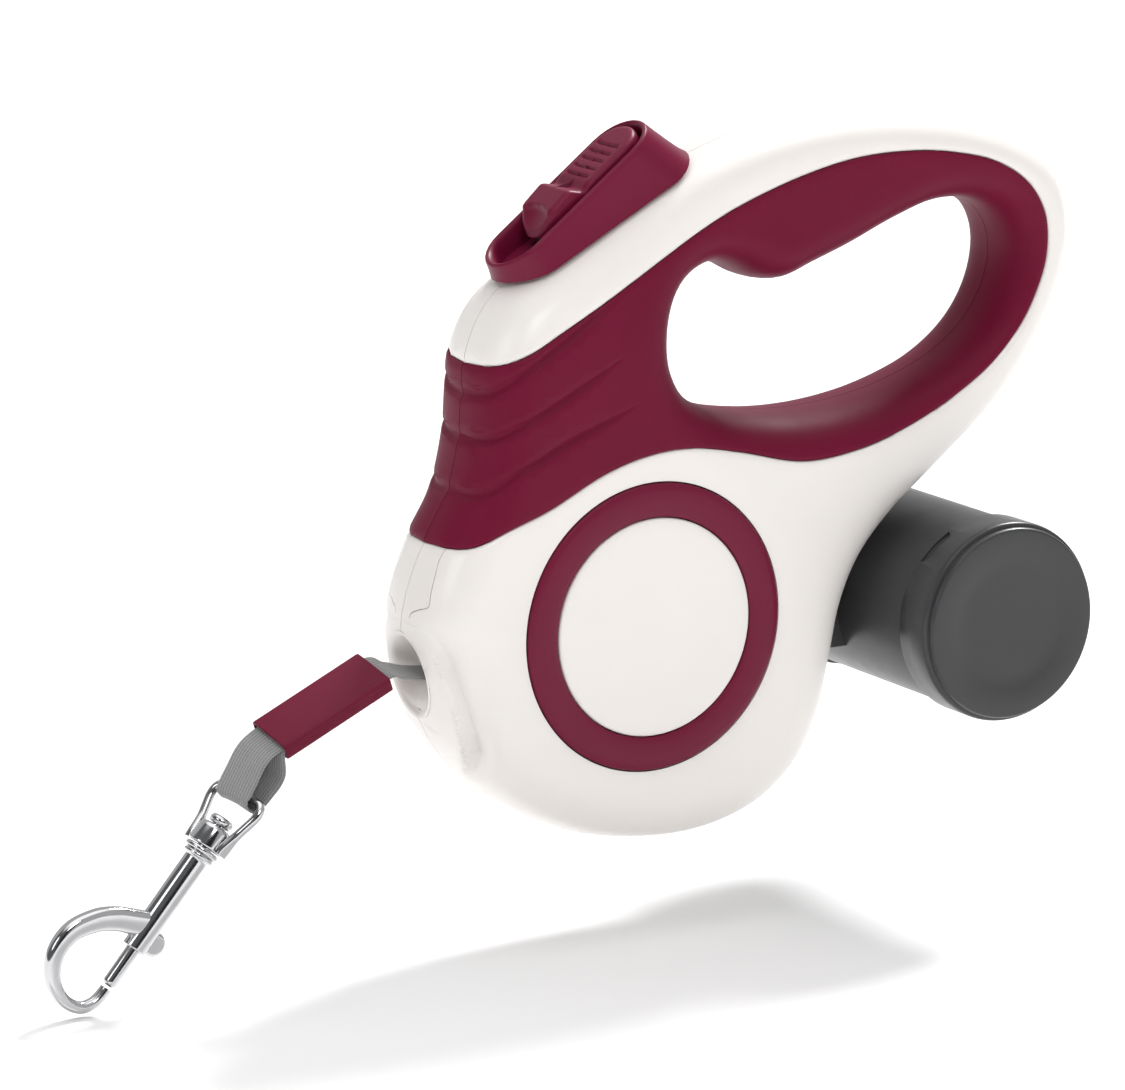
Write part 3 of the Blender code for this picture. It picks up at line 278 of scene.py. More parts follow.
def woven(name, colour, pitch=0.00075):
    """Flat webbing: warp ribs and weft picks from the UV map, which is in metres along the tape; the colour
    has painted shade in the hollows and painted highlight on the crests.
    """
    mat, tree, shader = new_material(name, 0.82)
    coords = node(tree, "ShaderNodeTexCoord").outputs
    split = node(tree, "ShaderNodeSeparateXYZ", Vector=coords["UV"]).outputs
    warp = maths(tree, "SINE", maths(tree, "MULTIPLY_ADD", split["X"], 2 * math.pi / pitch, 0.5))
    shift = maths(tree, "MULTIPLY", warp, 2.2)
    pick = 2 * math.pi / (pitch * 1.15)
    weft = maths(tree, "SINE", maths(tree, "MULTIPLY_ADD", split["Y"], pick, shift))
    both = maths(tree, "MULTIPLY_ADD", weft, 0.6, warp)
    weave_and_shade = node(tree, "ShaderNodeMapRange", Value=both, From_Min=-1.6, From_Max=1.6).outputs["Result"]
    fuzz = bump(tree, noise(tree, coords["Object"], 3200.0, 2.0), 0.25, 0.00004)
    # Painted shade and highlight: the colour is darker where the ribs dip and lighter where they rise, on top
    # of the real bumps
    feed(shader, Base_Color=ramp(tree, weave_and_shade, [(0.1, shades(colour, 0.62)), (0.75, shades(colour, 1.12))]),
         Normal=bump(tree, weave_and_shade, 0.9, 0.00016, Normal=fuzz), Sheen_Weight=0.35, Sheen_Roughness=0.5)
    return mat


def film(name, colour):
    """Rolled polythene: tight wrinkles round the roll, with painted highlight on their crests and painted
    shade in the folds.
    """
    mat, tree, shader = new_material(name, 0.3)
    wrinkle_and_sheen = noise(tree, object_coords(tree), 420.0, 6.0)
    # Painted highlight and shade: the colour is lighter on the crests of the wrinkles and darker in the folds
    # between them
    feed(shader, Base_Color=ramp(tree, wrinkle_and_sheen, [(0.3, shades(colour, 0.7)), (0.7, shades(colour, 1.6))]),
         Normal=bump(tree, wrinkle_and_sheen, 0.6, 0.0004))
    return mat


# ---- Mesh helpers ----
def new_object(name, bm, mat, matrix=Matrix(), smooth=32.0):
    bmesh.ops.recalc_face_normals(bm, faces=bm.faces)
    mesh = bpy.data.meshes.new(name)
    bm.to_mesh(mesh)
    bm.free()
    mesh.shade_smooth()
    mesh.set_sharp_from_angle(angle=math.radians(smooth))
    mesh.materials.append(mat)
    obj = bpy.data.objects.new(name, mesh)
    obj.matrix_world = matrix
    bpy.context.scene.collection.objects.link(obj)
    return obj


def finish_piece(obj, body, slot, *nodes):
    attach(obj, body)
    if nodes:
        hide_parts(*nodes)
    return obj


def cut(obj, cutter, smooth=32.0):
    """Cuts cutter's solid out of obj, and removes the cutter."""
    modifier = obj.modifiers.new("cut", "BOOLEAN")
    modifier.operation, modifier.object, modifier.solver = "DIFFERENCE", cutter, "EXACT"
    bpy.context.view_layer.update()
    evaluated = obj.evaluated_get(bpy.context.evaluated_depsgraph_get())
    mesh = bpy.data.meshes.new_from_object(evaluated)
    obj.modifiers.clear()
    obj.data = mesh
    bpy.data.objects.remove(cutter)
    mesh.shade_smooth()
    mesh.set_sharp_from_angle(angle=math.radians(smooth))


def block(centre, size, bm=None):
    """A box in millimetres, on its own or added to bm."""
    bm = bmesh.new() if bm is None else bm
    place = Matrix.LocRotScale(Vector(centre) * MM, None, Vector(size) * MM)
    bmesh.ops.create_cube(bm, size=1.0, matrix=place)
    return bm


def skin(rings, closed=False):
    """Skins rings of equal length, and caps the ends unless the last ring joins the first."""
    bm = bmesh.new()
    rows = [[bm.verts.new(p) for p in ring] for ring in rings]
    pairs = list(zip(rows, rows[1:]))
    if closed:
        pairs.append((rows[-1], rows[0]))
    for a, b in pairs:
        for i in range(len(a)):
            j = (i + 1) % len(a)
            bm.faces.new((a[i], a[j], b[j], b[i]))
    if not closed:
        bm.faces.new(rows[0])
        bm.faces.new(rows[-1])
    return bm


def on_axis(axis, radius, along, angle):
    c, s = radius * math.cos(angle), radius * math.sin(angle)
    return {"X": (along, c, s), "Y": (c, along, s), "Z": (c, s, along)}[axis]


def turned(profile, axis, sides, shift):
    """Turns a closed profile of (radius, along); shift(radius, along, angle) may move a point along."""
    bm = bmesh.new()
    rings = []
    for radius, along in profile:
        if radius == 0:
            rings.append([bm.verts.new(on_axis(axis, 0, along, 0))] * sides)
            continue
        ring = []
        for k in range(sides):
            angle = 2 * math.pi * k / sides
            place = along + (shift(radius, along, angle) if shift else 0.0)
            ring.append(bm.verts.new(on_axis(axis, radius, place, angle)))
        rings.append(ring)
    for a, b in zip(rings, rings[1:] + rings[:1]):
        if a[0] is a[1] and b[0] is b[1]:
            continue
        for k in range(sides):
            corners = []
            for vert in (a[k], a[(k + 1) % sides], b[(k + 1) % sides], b[k]):
                if vert not in corners:
                    corners.append(vert)
            bm.faces.new(corners)
    return bm


def rounded(profile, radii, steps=5):
    """A closed (r, a) profile with its corners rounded; radii gives one radius per corner, 0 for none."""
    out = []
    count = len(profile)
    for i, radius in enumerate(radii):
        here = Vector(profile[i])
        before, after = Vector(profile[i - 1]) - here, Vector(profile[(i + 1) % count]) - here
        if not radius:
            out.append(tuple(here))
            continue
        reach = min(radius, before.length * 0.49, after.length * 0.49)
        a, b = here + before.normalized() * reach, here + after.normalized() * reach
        for k in range(steps + 1):
            t = k / steps
            out.append(tuple(a * (1 - t) ** 2 + here * 2 * t * (1 - t) + b * t * t))
    return out


def lathe(profile, radii, axis="Y", sides=180, side=1, shift=None):
    """Turns a closed (radius, along) profile in millimetres, rounded, and mirrored where side is -1."""
    corners = [(radius * MM, side * along * MM) for radius, along in profile]
    return turned(rounded(corners, [radius * MM for radius in radii]), axis, sides, shift)


def smooth_path(points, step, closed=False):
    """Points every step or so along a Catmull-Rom curve through the given points."""
    points = [Vector(p) for p in points]
    count = len(points)
    path = []
    for i in range(count if closed else count - 1):
        if closed:
            p0, p1, p2, p3 = (points[(i + k - 1) % count] for k in range(4))
        else:
            p0, p1, p2, p3 = (points[min(max(i + k - 1, 0), count - 1)] for k in range(4))
        pieces = max(1, round((p2 - p1).length / step))
        for k in range(pieces):
            t = k / pieces
            path.append(0.5 * (2 * p1 + (p2 - p0) * t + (2 * p0 - 5 * p1 + 4 * p2 - p3) * t * t
                               + (3 * p1 - p0 - 3 * p2 + p3) * t ** 3))
    if not closed:
        path.append(points[-1])
    return path


def sweep_rings(path, section, side):
    """Rings of section(i), a list of (across, over) offsets, square to the path."""
    rings = []
    for i, point in enumerate(path):
        along = (path[min(i + 1, len(path) - 1)] - path[max(i - 1, 0)]).normalized()
        over = along.cross(side(i)).normalized()
        across = over.cross(along)
        rings.append([point + across * a + over * b for a, b in section(i)])
    return rings


def oval(across, over, power=2.0, sides=24):
    """A superellipse section: power 2 is an ellipse, and a high power a rounded rectangle."""
    points = []
    for k in range(sides):
        c, s = math.cos(2 * math.pi * k / sides), math.sin(2 * math.pi * k / sides)
        points.append((across * math.copysign(abs(c) ** (2 / power), c),
                       over * math.copysign(abs(s) ** (2 / power), s)))
    return points


def stadium(length, width, along, ends=14, sides=40):
    """A loop with round ends; points are (along + x, y), with sides points on each straight run."""
    half, r = length / 2 - width / 2, width / 2
    loop = []
    for centre, start in ((half, -math.pi / 2), (-half, math.pi / 2)):
        for k in range(ends + 1):
            a = start + math.pi * k / ends
            loop.append((along + centre + r * math.cos(a), r * math.sin(a)))
        x, y = loop[-1]
        for k in range(1, sides):
            loop.append((x - 2 * math.copysign(half, centre) * k / sides, y))
    return loop


def smoothstep(t):
    t = np.clip(t, 0, 1)
    return t * t * (3 - 2 * t)


# ---- Housing surface ----
def plane_line(points, step, closed=False):
    return np.array([tuple(p) for p in smooth_path([(x * MM, z * MM) for x, z in points], step, closed)])


def edge_loops(step):
    """The outline and the hole as arrays of points, with the normals that point into the material."""
    loops = []
    for points in (OUTLINE, HOLE):
        line = plane_line(points, step, True)
        after, before = np.roll(line, -1, 0), np.roll(line, 1, 0)
        along = after - before
        normal = np.stack([-along[:, 1], along[:, 0]], 1)
        normal /= np.linalg.norm(normal, axis=1)[:, None]
        area = np.sum(line[:, 0] * after[:, 1] - after[:, 0] * line[:, 1])
        inward = 1.0 if (area > 0) == (points is OUTLINE) else -1.0
        loops.append((line, normal * inward))
    return loops


def line_distance(points, line, closed=True):
    """Distance to a line, with the nearest segment and the place on it."""
    start, end = (line, np.roll(line, -1, 0)) if closed else (line[:-1], line[1:])
    run = end - start
    best = np.full(len(points), np.inf)
    nearest = np.zeros(len(points), int)
    place = np.zeros(len(points))
    for first in range(0, len(points), 4000):
        part = points[first:first + 4000]
        rel = part[:, None, :] - start[None]
        t = np.clip((rel * run).sum(2) / (run * run).sum(1), 0, 1)
        distance = np.linalg.norm(rel - t[:, :, None] * run, axis=2)
        k = distance.argmin(1)
        rows = np.arange(len(part))
        best[first:first + 4000] = distance[rows, k]
        nearest[first:first + 4000] = k
        place[first:first + 4000] = t[rows, k]
    return best, nearest, place


def nearest_edge(points, loops):
    """Distance to the nearest edge and the smoothed normal there."""
    best = np.full(len(points), np.inf)
    normals = np.zeros((len(points), 2))
    for line, normal in loops:
        distance, k, t = line_distance(points, line)
        blended = normal[k] * (1 - t)[:, None] + np.roll(normal, -1, 0)[k] * t[:, None]
        closer = distance < best
        best[closer] = distance[closer]
        normals[closer] = blended[closer]
    return best, normals / np.linalg.norm(normals, axis=1)[:, None]


def thinning(points):
    """0 over the reel, 1 on the handle."""
    return smoothstep((np.linalg.norm(points, axis=1) - THIN_FROM) / (THIN_TO - THIN_FROM))


def edge_depth(points):
    return BODY_EDGE + (HANDLE_EDGE - BODY_EDGE) * thinning(points)


def surface(points, loops):
    """Points on the left half's outer skin over (x, z) points, and the skin's normals there."""
    distance, inward = nearest_edge(points, loops)
    half = BODY_HALF + (HANDLE_HALF - BODY_HALF) * thinning(points)
    depth = edge_depth(points)
    left = 1 - np.clip(distance / depth, 0, 1)
    rise = np.maximum(1 - left ** EDGE_POWER, 1e-9)
    height = half * rise ** (1 / EDGE_POWER)
    height[distance < 1e-7] = 0
    slope = half / depth * left ** (EDGE_POWER - 1) * rise ** (1 / EDGE_POWER - 1)
    points3 = np.stack([points[:, 0], -height, points[:, 1]], 1)
    normal = np.stack([-slope * inward[:, 0], -np.ones(len(points)), -slope * inward[:, 1]], 1)
    return points3, normal / np.linalg.norm(normal, axis=1)[:, None]


def front_x(y, z, loops):
    """Where the front of the housing is, at distances y from the middle and heights z."""
    xs = np.linspace(-58 * MM, -34 * MM, 240)
    out = np.zeros(len(y))
    for i, (side, height) in enumerate(zip(np.abs(y), z)):
        row = np.stack([xs, np.full(len(xs), height)], 1)
        within = inside(row, loops[0][0])
        level = np.where(within, -surface(row, loops)[0][:, 1], -1.0)
        first = int(np.argmax(level >= side))
        low, high = level[first - 1], level[first]
        share = 1.0 if low < 0 and side > 0 else (side - low) / max(high - low, 1e-9)
        out[i] = xs[first - 1] + (xs[first] - xs[first - 1]) * min(max(share, 0.0), 1.0)
    return out


def inside(points, line):
    """Which points lie inside a closed line."""
    x, z = points[:, 0][:, None], points[:, 1][:, None]
    ax, az = line[:, 0], line[:, 1]
    bx, bz = np.roll(ax, -1), np.roll(az, -1)
    with np.errstate(divide="ignore", invalid="ignore"):
        cross = ((az > z) != (bz > z)) & (x < (bx - ax) * (z - az) / (bz - az) + ax)
    return cross.sum(1) % 2 == 1


def front_curve(centre, half, grow, loops, count=40):
    """An oval of (y, z) on the front, seen from the side: (x, z) points from its top to its bottom."""
    angles = np.linspace(math.pi / 2, -math.pi / 2, count)
    y, z = half[0] * grow * np.cos(angles), centre + half[1] * grow * np.sin(angles)
    return np.stack([front_x(y, z, loops), z], 1)


def offset_line(line, distance):
    along = np.gradient(line, axis=0)
    normal = np.stack([-along[:, 1], along[:, 0]], 1)
    return line + distance * normal / np.linalg.norm(normal, axis=1)[:, None]


def circle(centre, radius, count):
    angles = np.linspace(0, 2 * math.pi, count, endpoint=False)
    return np.stack([centre[0] * MM + radius * np.cos(angles), centre[1] * MM + radius * np.sin(angles)], 1)


def side_layout(loops, side):
    """Triangles over the side of the housing: points, triangles, is-grip per triangle, and the seam."""
    seam = plane_line(SEAM, HOUSING_STEP)
    funnel = front_curve(FUNNEL_CENTRE, FUNNEL_HALF, 1.0, loops)
    ahead = -70 * MM
    notch = np.concatenate([funnel, [[ahead, funnel[-1, 1]], [ahead, funnel[0, 1]]]])
    window = circle((0, 0), WINDOW, 180)
    holes = [circle(screw, HEAD_HOLE, 24) for screw in SCREWS] if side > 0 else []
    points, edges = [], []
    rows = [(loops[0][0], True), (loops[1][0], True), (seam, True), (funnel, False), (window, True)]
    rows += [(hole, True) for hole in holes]
    for line, closed in rows:
        first, count = len(points), len(line)
        points += line.tolist()
        edges += [(first + i, first + (i + 1) % count) for i in range(count if closed else count - 1)]
    keep_clear = [(seam, True, 0.9), (window, True, 0.9), (funnel, False, 0.7)]
    keep_clear += [(hole, True, 0.8) for hole in holes]
    fine = [offset_line(seam, d * MM) for d in (-0.85, -0.45, 0.45, 0.85)]
    front = [front_curve(PAD_CENTRE, PAD_HALF, grow, loops, 60) for grow in PAD_RINGS]
    front = [line[line[:, 1] < 5 * MM] for line in front]
    front += [front_curve(FUNNEL_CENTRE, FUNNEL_HALF, grow, loops) for grow in (1.06, 1.13, 1.2)]
    keep_clear += [(line, False, 0.55) for line in front]
    fine += front
    for groove in GRIP_GROOVES:
        line = plane_line(groove, 0.9 * MM)
        keep_clear.append((line, False, GROOVE_HALF / MM + 0.35))
        fine += [offset_line(line, share * GROOVE_HALF) for share in (-1, -0.6, -0.3, 0, 0.3, 0.6, 1)]
    taken = [np.array(points)]
    for line in fine:
        within = inside(line, loops[0][0]) & ~inside(line, loops[1][0]) & ~inside(line, notch)
        within &= nearest_edge(line, loops)[0] > 0.05 * MM
        taken.append(line[within])
    rings = []
    for k in range(1, EDGE_ROWS + 1):
        level = 1 - max(0.0, math.cos(math.pi / 2 * k / EDGE_ROWS)) ** (2 / EDGE_POWER)
        for line, normal in loops:
            depth = level * edge_depth(line)
            ring = line + normal * depth[:, None]
            rings.append(ring[nearest_edge(ring, loops)[0] > 0.96 * depth])
    pitch = 2.6 * MM
    grid = np.array([(x * pitch + (z % 2) * pitch / 2, z * pitch * 0.87)
                     for x in range(-24, 46) for z in range(-24, 50)])
    grid = grid[nearest_edge(grid, loops)[0] > edge_depth(grid) + 0.6 * pitch]
    loose = np.concatenate(rings + [grid])
    clear = np.ones(len(loose), bool)
    for line, closed, reach in keep_clear:
        clear &= line_distance(loose, line, closed)[0] > reach * MM
    taken.append(loose[clear])
    verts, _, faces, *_ = delaunay_2d_cdt([Vector(p) for p in np.concatenate(taken).tolist()], edges, [], 0,
                                          2e-6)
    verts = np.array([tuple(v) for v in verts])
    faces = np.array([list(f) for f in faces])
    middle = verts[faces].mean(1)
    keep = inside(middle, loops[0][0]) & ~inside(middle, loops[1][0]) & ~inside(middle, notch)
    for hole in [window] + holes:
        keep &= ~inside(middle, hole)
    faces, middle = faces[keep], middle[keep]
    return verts, faces, inside(middle, seam), seam


def groove_depth(points, groove):
    """How deep a finger line is at each point; it narrows and fades towards its last point."""
    line = plane_line(groove, 0.9 * MM)
    distance, k, t = line_distance(points, line, False)
    left = 1 - (k + t) / (len(line) - 1)
    taper = smoothstep(left / 0.35)
    share = np.clip(distance / (GROOVE_HALF * (0.35 + 0.65 * taper)), 0, 1)
    return GROOVE_DEEP * (0.15 + 0.85 * taper) * smoothstep(left / 0.06) * (1 - share ** 2) ** 2


def oval_radius(points3, centre, half):
    return np.hypot(points3[:, 1] / half[0], (points3[:, 2] - centre) / half[1])


def front_depth(points3):
    """The valley round the nozzle's pad, deepest low on its sides."""
    x, z = points3[:, 0] / MM, points3[:, 2] / MM
    q = oval_radius(points3, PAD_CENTRE, PAD_HALF)
    step = smoothstep((q - 1.0) / 0.14)
    fall = 1 - smoothstep((q - 1.12) / 0.55)
    low = smoothstep((7 - z) / 12) * smoothstep((z + 32.5) / 8)
    ahead = smoothstep((-36.5 - x) / 6.5)
    return VALLEY_DEEP * step * fall * low * ahead


def funnel_lip(points3):
    """The rounding of the skin where it turns into the funnel."""
    q = oval_radius(points3, FUNNEL_CENTRE, FUNNEL_HALF)
    return LIP_DEEP * (1 - np.clip((q - 1) / LIP_REACH, 0, 1)) ** 2 * (points3[:, 0] < FRONT_X)


def mirrored(points, side):
    """Left-half points, put on the left (-1) or the right (+1) side with the parting gap."""
    out = points.copy()
    out[:, 1] = np.minimum(out[:, 1], -PARTING)
    out[:, 1] *= -side
    return out


def side_edges(faces):
    found = {}
    for f, face in enumerate(faces):
        for k in range(3):
            key = tuple(sorted((face[k], face[(k + 1) % 3])))
            found.setdefault(key, []).append(f)
    return found


def lip(points, seam, reach, depth):
    """The rounding of an edge beside the seam."""
    distance = line_distance(points, seam)[0]
    return depth * MM * (1 - np.clip(distance / (reach * MM), 0, 1)) ** 2


def window_lip(points):
    distance = np.linalg.norm(points, axis=1) - WINDOW
    return 0.35 * MM * (1 - np.clip(distance / (1.0 * MM), 0, 1)) ** 2


def pin_funnel(verts, outer, loops):
    """Puts the skin's points on the funnel's edge exactly on its oval."""
    edge = front_curve(FUNNEL_CENTRE, FUNNEL_HALF, 1.0, loops)
    across = FUNNEL_HALF[0] * np.cos(np.linspace(math.pi / 2, -math.pi / 2, len(edge)))
    for point, y in zip(edge, across):
        gap = np.linalg.norm(verts - point, axis=1)
        outer[gap < 5e-6, 1] = -y


def shell_mesh(layout, loops, side):
    verts, faces, grip, seam = layout
    outer, normal = surface(verts, loops)
    pin_funnel(verts, outer, loops)
    in_grip = np.zeros(len(verts), bool)
    in_white = np.zeros(len(verts), bool)
    in_grip[faces[grip].ravel()] = True
    in_white[faces[~grip].ravel()] = True
    press = lip(verts, seam, 0.9, 0.35) + window_lip(verts) + front_depth(outer) + funnel_lip(outer)
    wall = np.where(in_grip, GRIP_WALL, WALL)[:, None]
    high = mirrored(outer - press[:, None] * normal, side)
    low = mirrored(outer - GRIP_RECESS * normal, side)
    inner = mirrored(outer - (wall + press[:, None] * ~in_grip[:, None]) * normal, side)
    bm = bmesh.new()
    used = in_grip | in_white
    high = [bm.verts.new(p) if in_white[i] else None for i, p in enumerate(high)]
    low = [bm.verts.new(p) if in_grip[i] else None for i, p in enumerate(low)]
    inner = [bm.verts.new(p) if used[i] else None for i, p in enumerate(inner)]
    for face, is_grip in zip(faces, grip):
        top = low if is_grip else high
        bm.faces.new([top[v] for v in face])
        bm.faces.new([inner[v] for v in face[::-1]])
    for (a, b), users in side_edges(faces).items():
        if len(users) == 1:
            if grip[users[0]]:
                bm.faces.new((low[a], low[b], inner[b]))
                bm.faces.new((low[a], inner[b], inner[a]))
                continue
            if in_grip[a]:
                a, b = b, a
            rim = [high[b], low[b], inner[b]] if in_grip[b] else [high[b], inner[b]]
            for first, second in zip(rim, rim[1:] + [inner[a]]):
                bm.faces.new((high[a], first, second))
        elif grip[users[0]] != grip[users[1]]:
            bm.faces.new((high[a], high[b], low[b]))
            bm.faces.new((high[a], low[b], low[a]))
    return bm


def grip_mesh(layout, loops, side):
    verts, faces, grip, seam = layout
    edges = side_edges(faces)
    moved = verts.copy()
    centre = verts[faces].mean(1)
    for (a, b), users in edges.items():
        if len(users) == 2 and grip[users[0]] != grip[users[1]]:
            within = users[0] if grip[users[0]] else users[1]
            run = verts[b] - verts[a]
            inward = np.array([-run[1], run[0]]) / np.linalg.norm(run)
            if inward @ (centre[within] - verts[a]) < 0:
                inward = -inward
            moved[[a, b]] += inward * GRIP_GAP / 2
    distance = nearest_edge(verts, loops)[0]
    on_rim = distance < 1e-7
    top, normal = surface(moved, loops)
    rim_top, rim_normal = surface(verts, loops)
    top[on_rim] = rim_top[on_rim] + (moved - verts)[on_rim][:, [0, 0, 1]] * (1, 0, 1)
    normal[on_rim] = rim_normal[on_rim]
    press = lip(moved, seam, 0.9, 0.4) - 0.25 * MM
    for groove in GRIP_GROOVES:
        press = press + groove_depth(moved, groove)
    under = mirrored(top - (GRIP_THICK + 0.2 * MM) * normal, side)
    top = mirrored(top - press[:, None] * normal, side)
    bm = bmesh.new()
    ids = sorted(set(faces[grip].ravel()))
    top = {i: bm.verts.new(top[i]) for i in ids}
    under = {i: bm.verts.new(under[i]) for i in ids}
    for face in faces[grip]:
        bm.faces.new([top[v] for v in face])
        bm.faces.new([under[v] for v in face[::-1]])
    for (a, b), users in edges.items():
        if sum(bool(grip[f]) for f in users) == 1:
            bm.faces.new((top[a], top[b], under[b]))
            bm.faces.new((top[a], under[b], under[a]))
    return bm


def insert_joint(white, loops, side):
    """A blade that stands on the skin along the nozzle insert's joint."""
    points, normals = surface(plane_line(INSERT_JOINT, 0.5 * MM), loops)
    points = mirrored(points, side)
    normals[:, 1] *= -side
    path = [Vector(p) for p in points]
    section = [(-JOINT_HALF, -JOINT_DEEP), (JOINT_HALF, -JOINT_DEEP), (JOINT_HALF, MM), (-JOINT_HALF, MM)]
    rings = []
    for i, point in enumerate(path):
        over = Vector(normals[i])
        across = (path[min(i + 1, len(path) - 1)] - path[max(i - 1, 0)]).cross(over).normalized()
        rings.append([point + across * a + over * b for a, b in section])
    return new_object("joint_blade", skin(rings), white, AT_REEL)


def make_housing(white, soft, loops):
    for side, name in ((-1, "left"), (1, "right")):
        layout = side_layout(loops, side)
        shell = new_object(f"{name}_housing_half", shell_mesh(layout, loops, side), white, AT_REEL, 40)
        cut(shell, new_object("slot", block((-3, 0, -2), (28, 11, 28)), white, AT_BUTTON), 62)
        cut(shell, insert_joint(white, loops, side), 62)
        finish_piece(shell, "housing", "housing_white", f"{name}_shell")
        grip = new_object(f"{name}_soft_grip", grip_mesh(layout, loops, side), soft, AT_REEL, 40)
        finish_piece(grip, "housing", "soft_grip", f"{name}_grip")
        if side > 0:
            make_screw_wells(white, loops)


def make_screw_wells(white, loops):
    """The counterbores that the screws sit in, from the right."""
    bore = HEAD_HOLE / MM - 0.02
    tops = -surface(np.array(SCREWS) * MM, loops)[0][:, 1] / MM
    for n, (x, z) in enumerate(SCREWS):
        top = tops[n] - (2.4 if n < 3 else 0.8)
        profile = [(bore, top), (bore, 7), (1.5, 7), (1.5, 1), (3, 1), (3, top)]
        well = new_object(f"screw_well_{n + 1}", lathe(profile, [0] * 6, sides=32), white,
                          AT_REEL @ Matrix.Translation((x * MM, 0, z * MM)))
        finish_piece(well, "housing", "housing_white")


def funnel_ring(grow, sunk, loops, sides):
    """An oval round the funnel on the skin, sunk into it; grow is its size over the funnel's edge."""
    angles = np.linspace(0, 2 * math.pi, sides, endpoint=False)
    y = FUNNEL_HALF[0] * grow * np.cos(angles)
    z = FUNNEL_CENTRE + FUNNEL_HALF[1] * grow * np.sin(angles)
    x = front_x(y, z, loops)
    normal = surface(np.stack([x, z], 1), loops)[1]
    normal[:, 1] *= -np.sign(y)
    return np.stack([x, y, z], 1) - sunk * normal


def make_nozzle(white, loops):
    """The funnel insert: a lip over the housing's edge, the funnel down to the slit, and a short duct."""
    sides, rows = 72, 12
    angles = np.linspace(0, 2 * math.pi, sides, endpoint=False)
    rings = [funnel_ring(1.15, 0.5 * MM, loops, sides)]
    for grow in (1.15, 1.12, 1.09, 1.06, 1.03):
        sunk = LIP_DEEP * (1 - (grow - 1) / LIP_REACH) ** 2 - LIP_PROUD
        rings.append(funnel_ring(grow, sunk, loops, sides))
    rim = funnel_ring(0.99, LIP_DEEP, loops, sides)
    slit = np.array(oval(SLIT_HALF[0], SLIT_HALF[1], 3.2, sides))
    up = np.sin(angles)
    for k in range(rows + 1):
        t = k / rows
        wide = (1 - t) ** 1.35                          # how much of the rim's shape is left
        soft = smoothstep(-1.3 * up)                      # the floor starts level with the skin
        deep = (1 - (1 - t) ** 1.6) * (1 - soft) + t ** 1.7 * soft
        lean = np.where(up > 0, 0.22, 0.0) * np.abs(up) * math.sin(math.pi * t)    # the hood is steep
        x = rim[:, 0] + (SLIT_X - rim[:, 0]) * np.clip(deep + lean, 0, 1)
        y = rim[:, 1] * wide + slit[:, 0] * (1 - wide)
        z = rim[:, 2] * wide + (SLIT_CENTRE + slit[:, 1]) * (1 - wide)
        rings.append(np.stack([x, y, z], 1))
    back = np.full(sides, SLIT_X + 4 * MM)
    rings.append(np.stack([back, slit[:, 0], SLIT_CENTRE + slit[:, 1]], 1))
    rings.append(np.stack([back, rim[:, 1] * 0.96, FUNNEL_CENTRE + (rim[:, 2] - FUNNEL_CENTRE) * 0.96], 1))
    nozzle = new_object("nozzle_funnel", skin([ring.tolist() for ring in rings], closed=True), white,
                        AT_REEL, 60)
    finish_piece(nozzle, "housing", "housing_white", "nozzle")


# ---- Side rings and discs ----
def make_trim(white, maroon):
    edge = RING_IN - 0.22
    ring = [(RING_IN, TRIM_FACE - 0.45), (RING_IN + 1.3, TRIM_FACE - 0.12), (28.2, TRIM_FACE + 0.12),
            (RING_OUT - 1.3, TRIM_FACE - 0.05), (RING_OUT, TRIM_FACE - 0.5), (RING_OUT, TRIM_BACK),
            (RING_IN, TRIM_BACK)]
    disc = [(0, DISC_FACE - 0.15), (edge - 2.2, DISC_FACE - 0.15), (edge, DISC_FACE - 0.5),
            (edge, TRIM_BACK), (0, TRIM_BACK)]
    for side, name in ((-1, "left"), (1, "right")):
        turned_ring = lathe(ring, [0.4, 0.8, 2, 0.8, 0.5, 0, 0], sides=160, side=side)
        made = new_object(f"{name}_side_ring", turned_ring, maroon, AT_REEL)
        finish_piece(made, "housing", "maroon_plastic", f"{name}_trim_ring")
        turned_disc = lathe(disc, [0, 1.6, 0.7, 0, 0], sides=160, side=side)
        made = new_object(f"{name}_disc", turned_disc, white, AT_REEL)
        finish_piece(made, "housing", "housing_white", f"{name}_side_disc")


# ---- Brake button ----
def land_drop(y):
    rise = (min(abs(y) / BODY_HALF, 1.0)) ** EDGE_POWER
    return BODY_EDGE * (1 - (1 - rise) ** (1 / EDGE_POWER))


def bezel_foot(x, y):
    """Height of the bezel's foot, which follows the crowned land."""
    return -8.1 * MM - x * math.tan(BUTTON_SLOPE - LAND_SLOPE) - land_drop(y) * 0.98


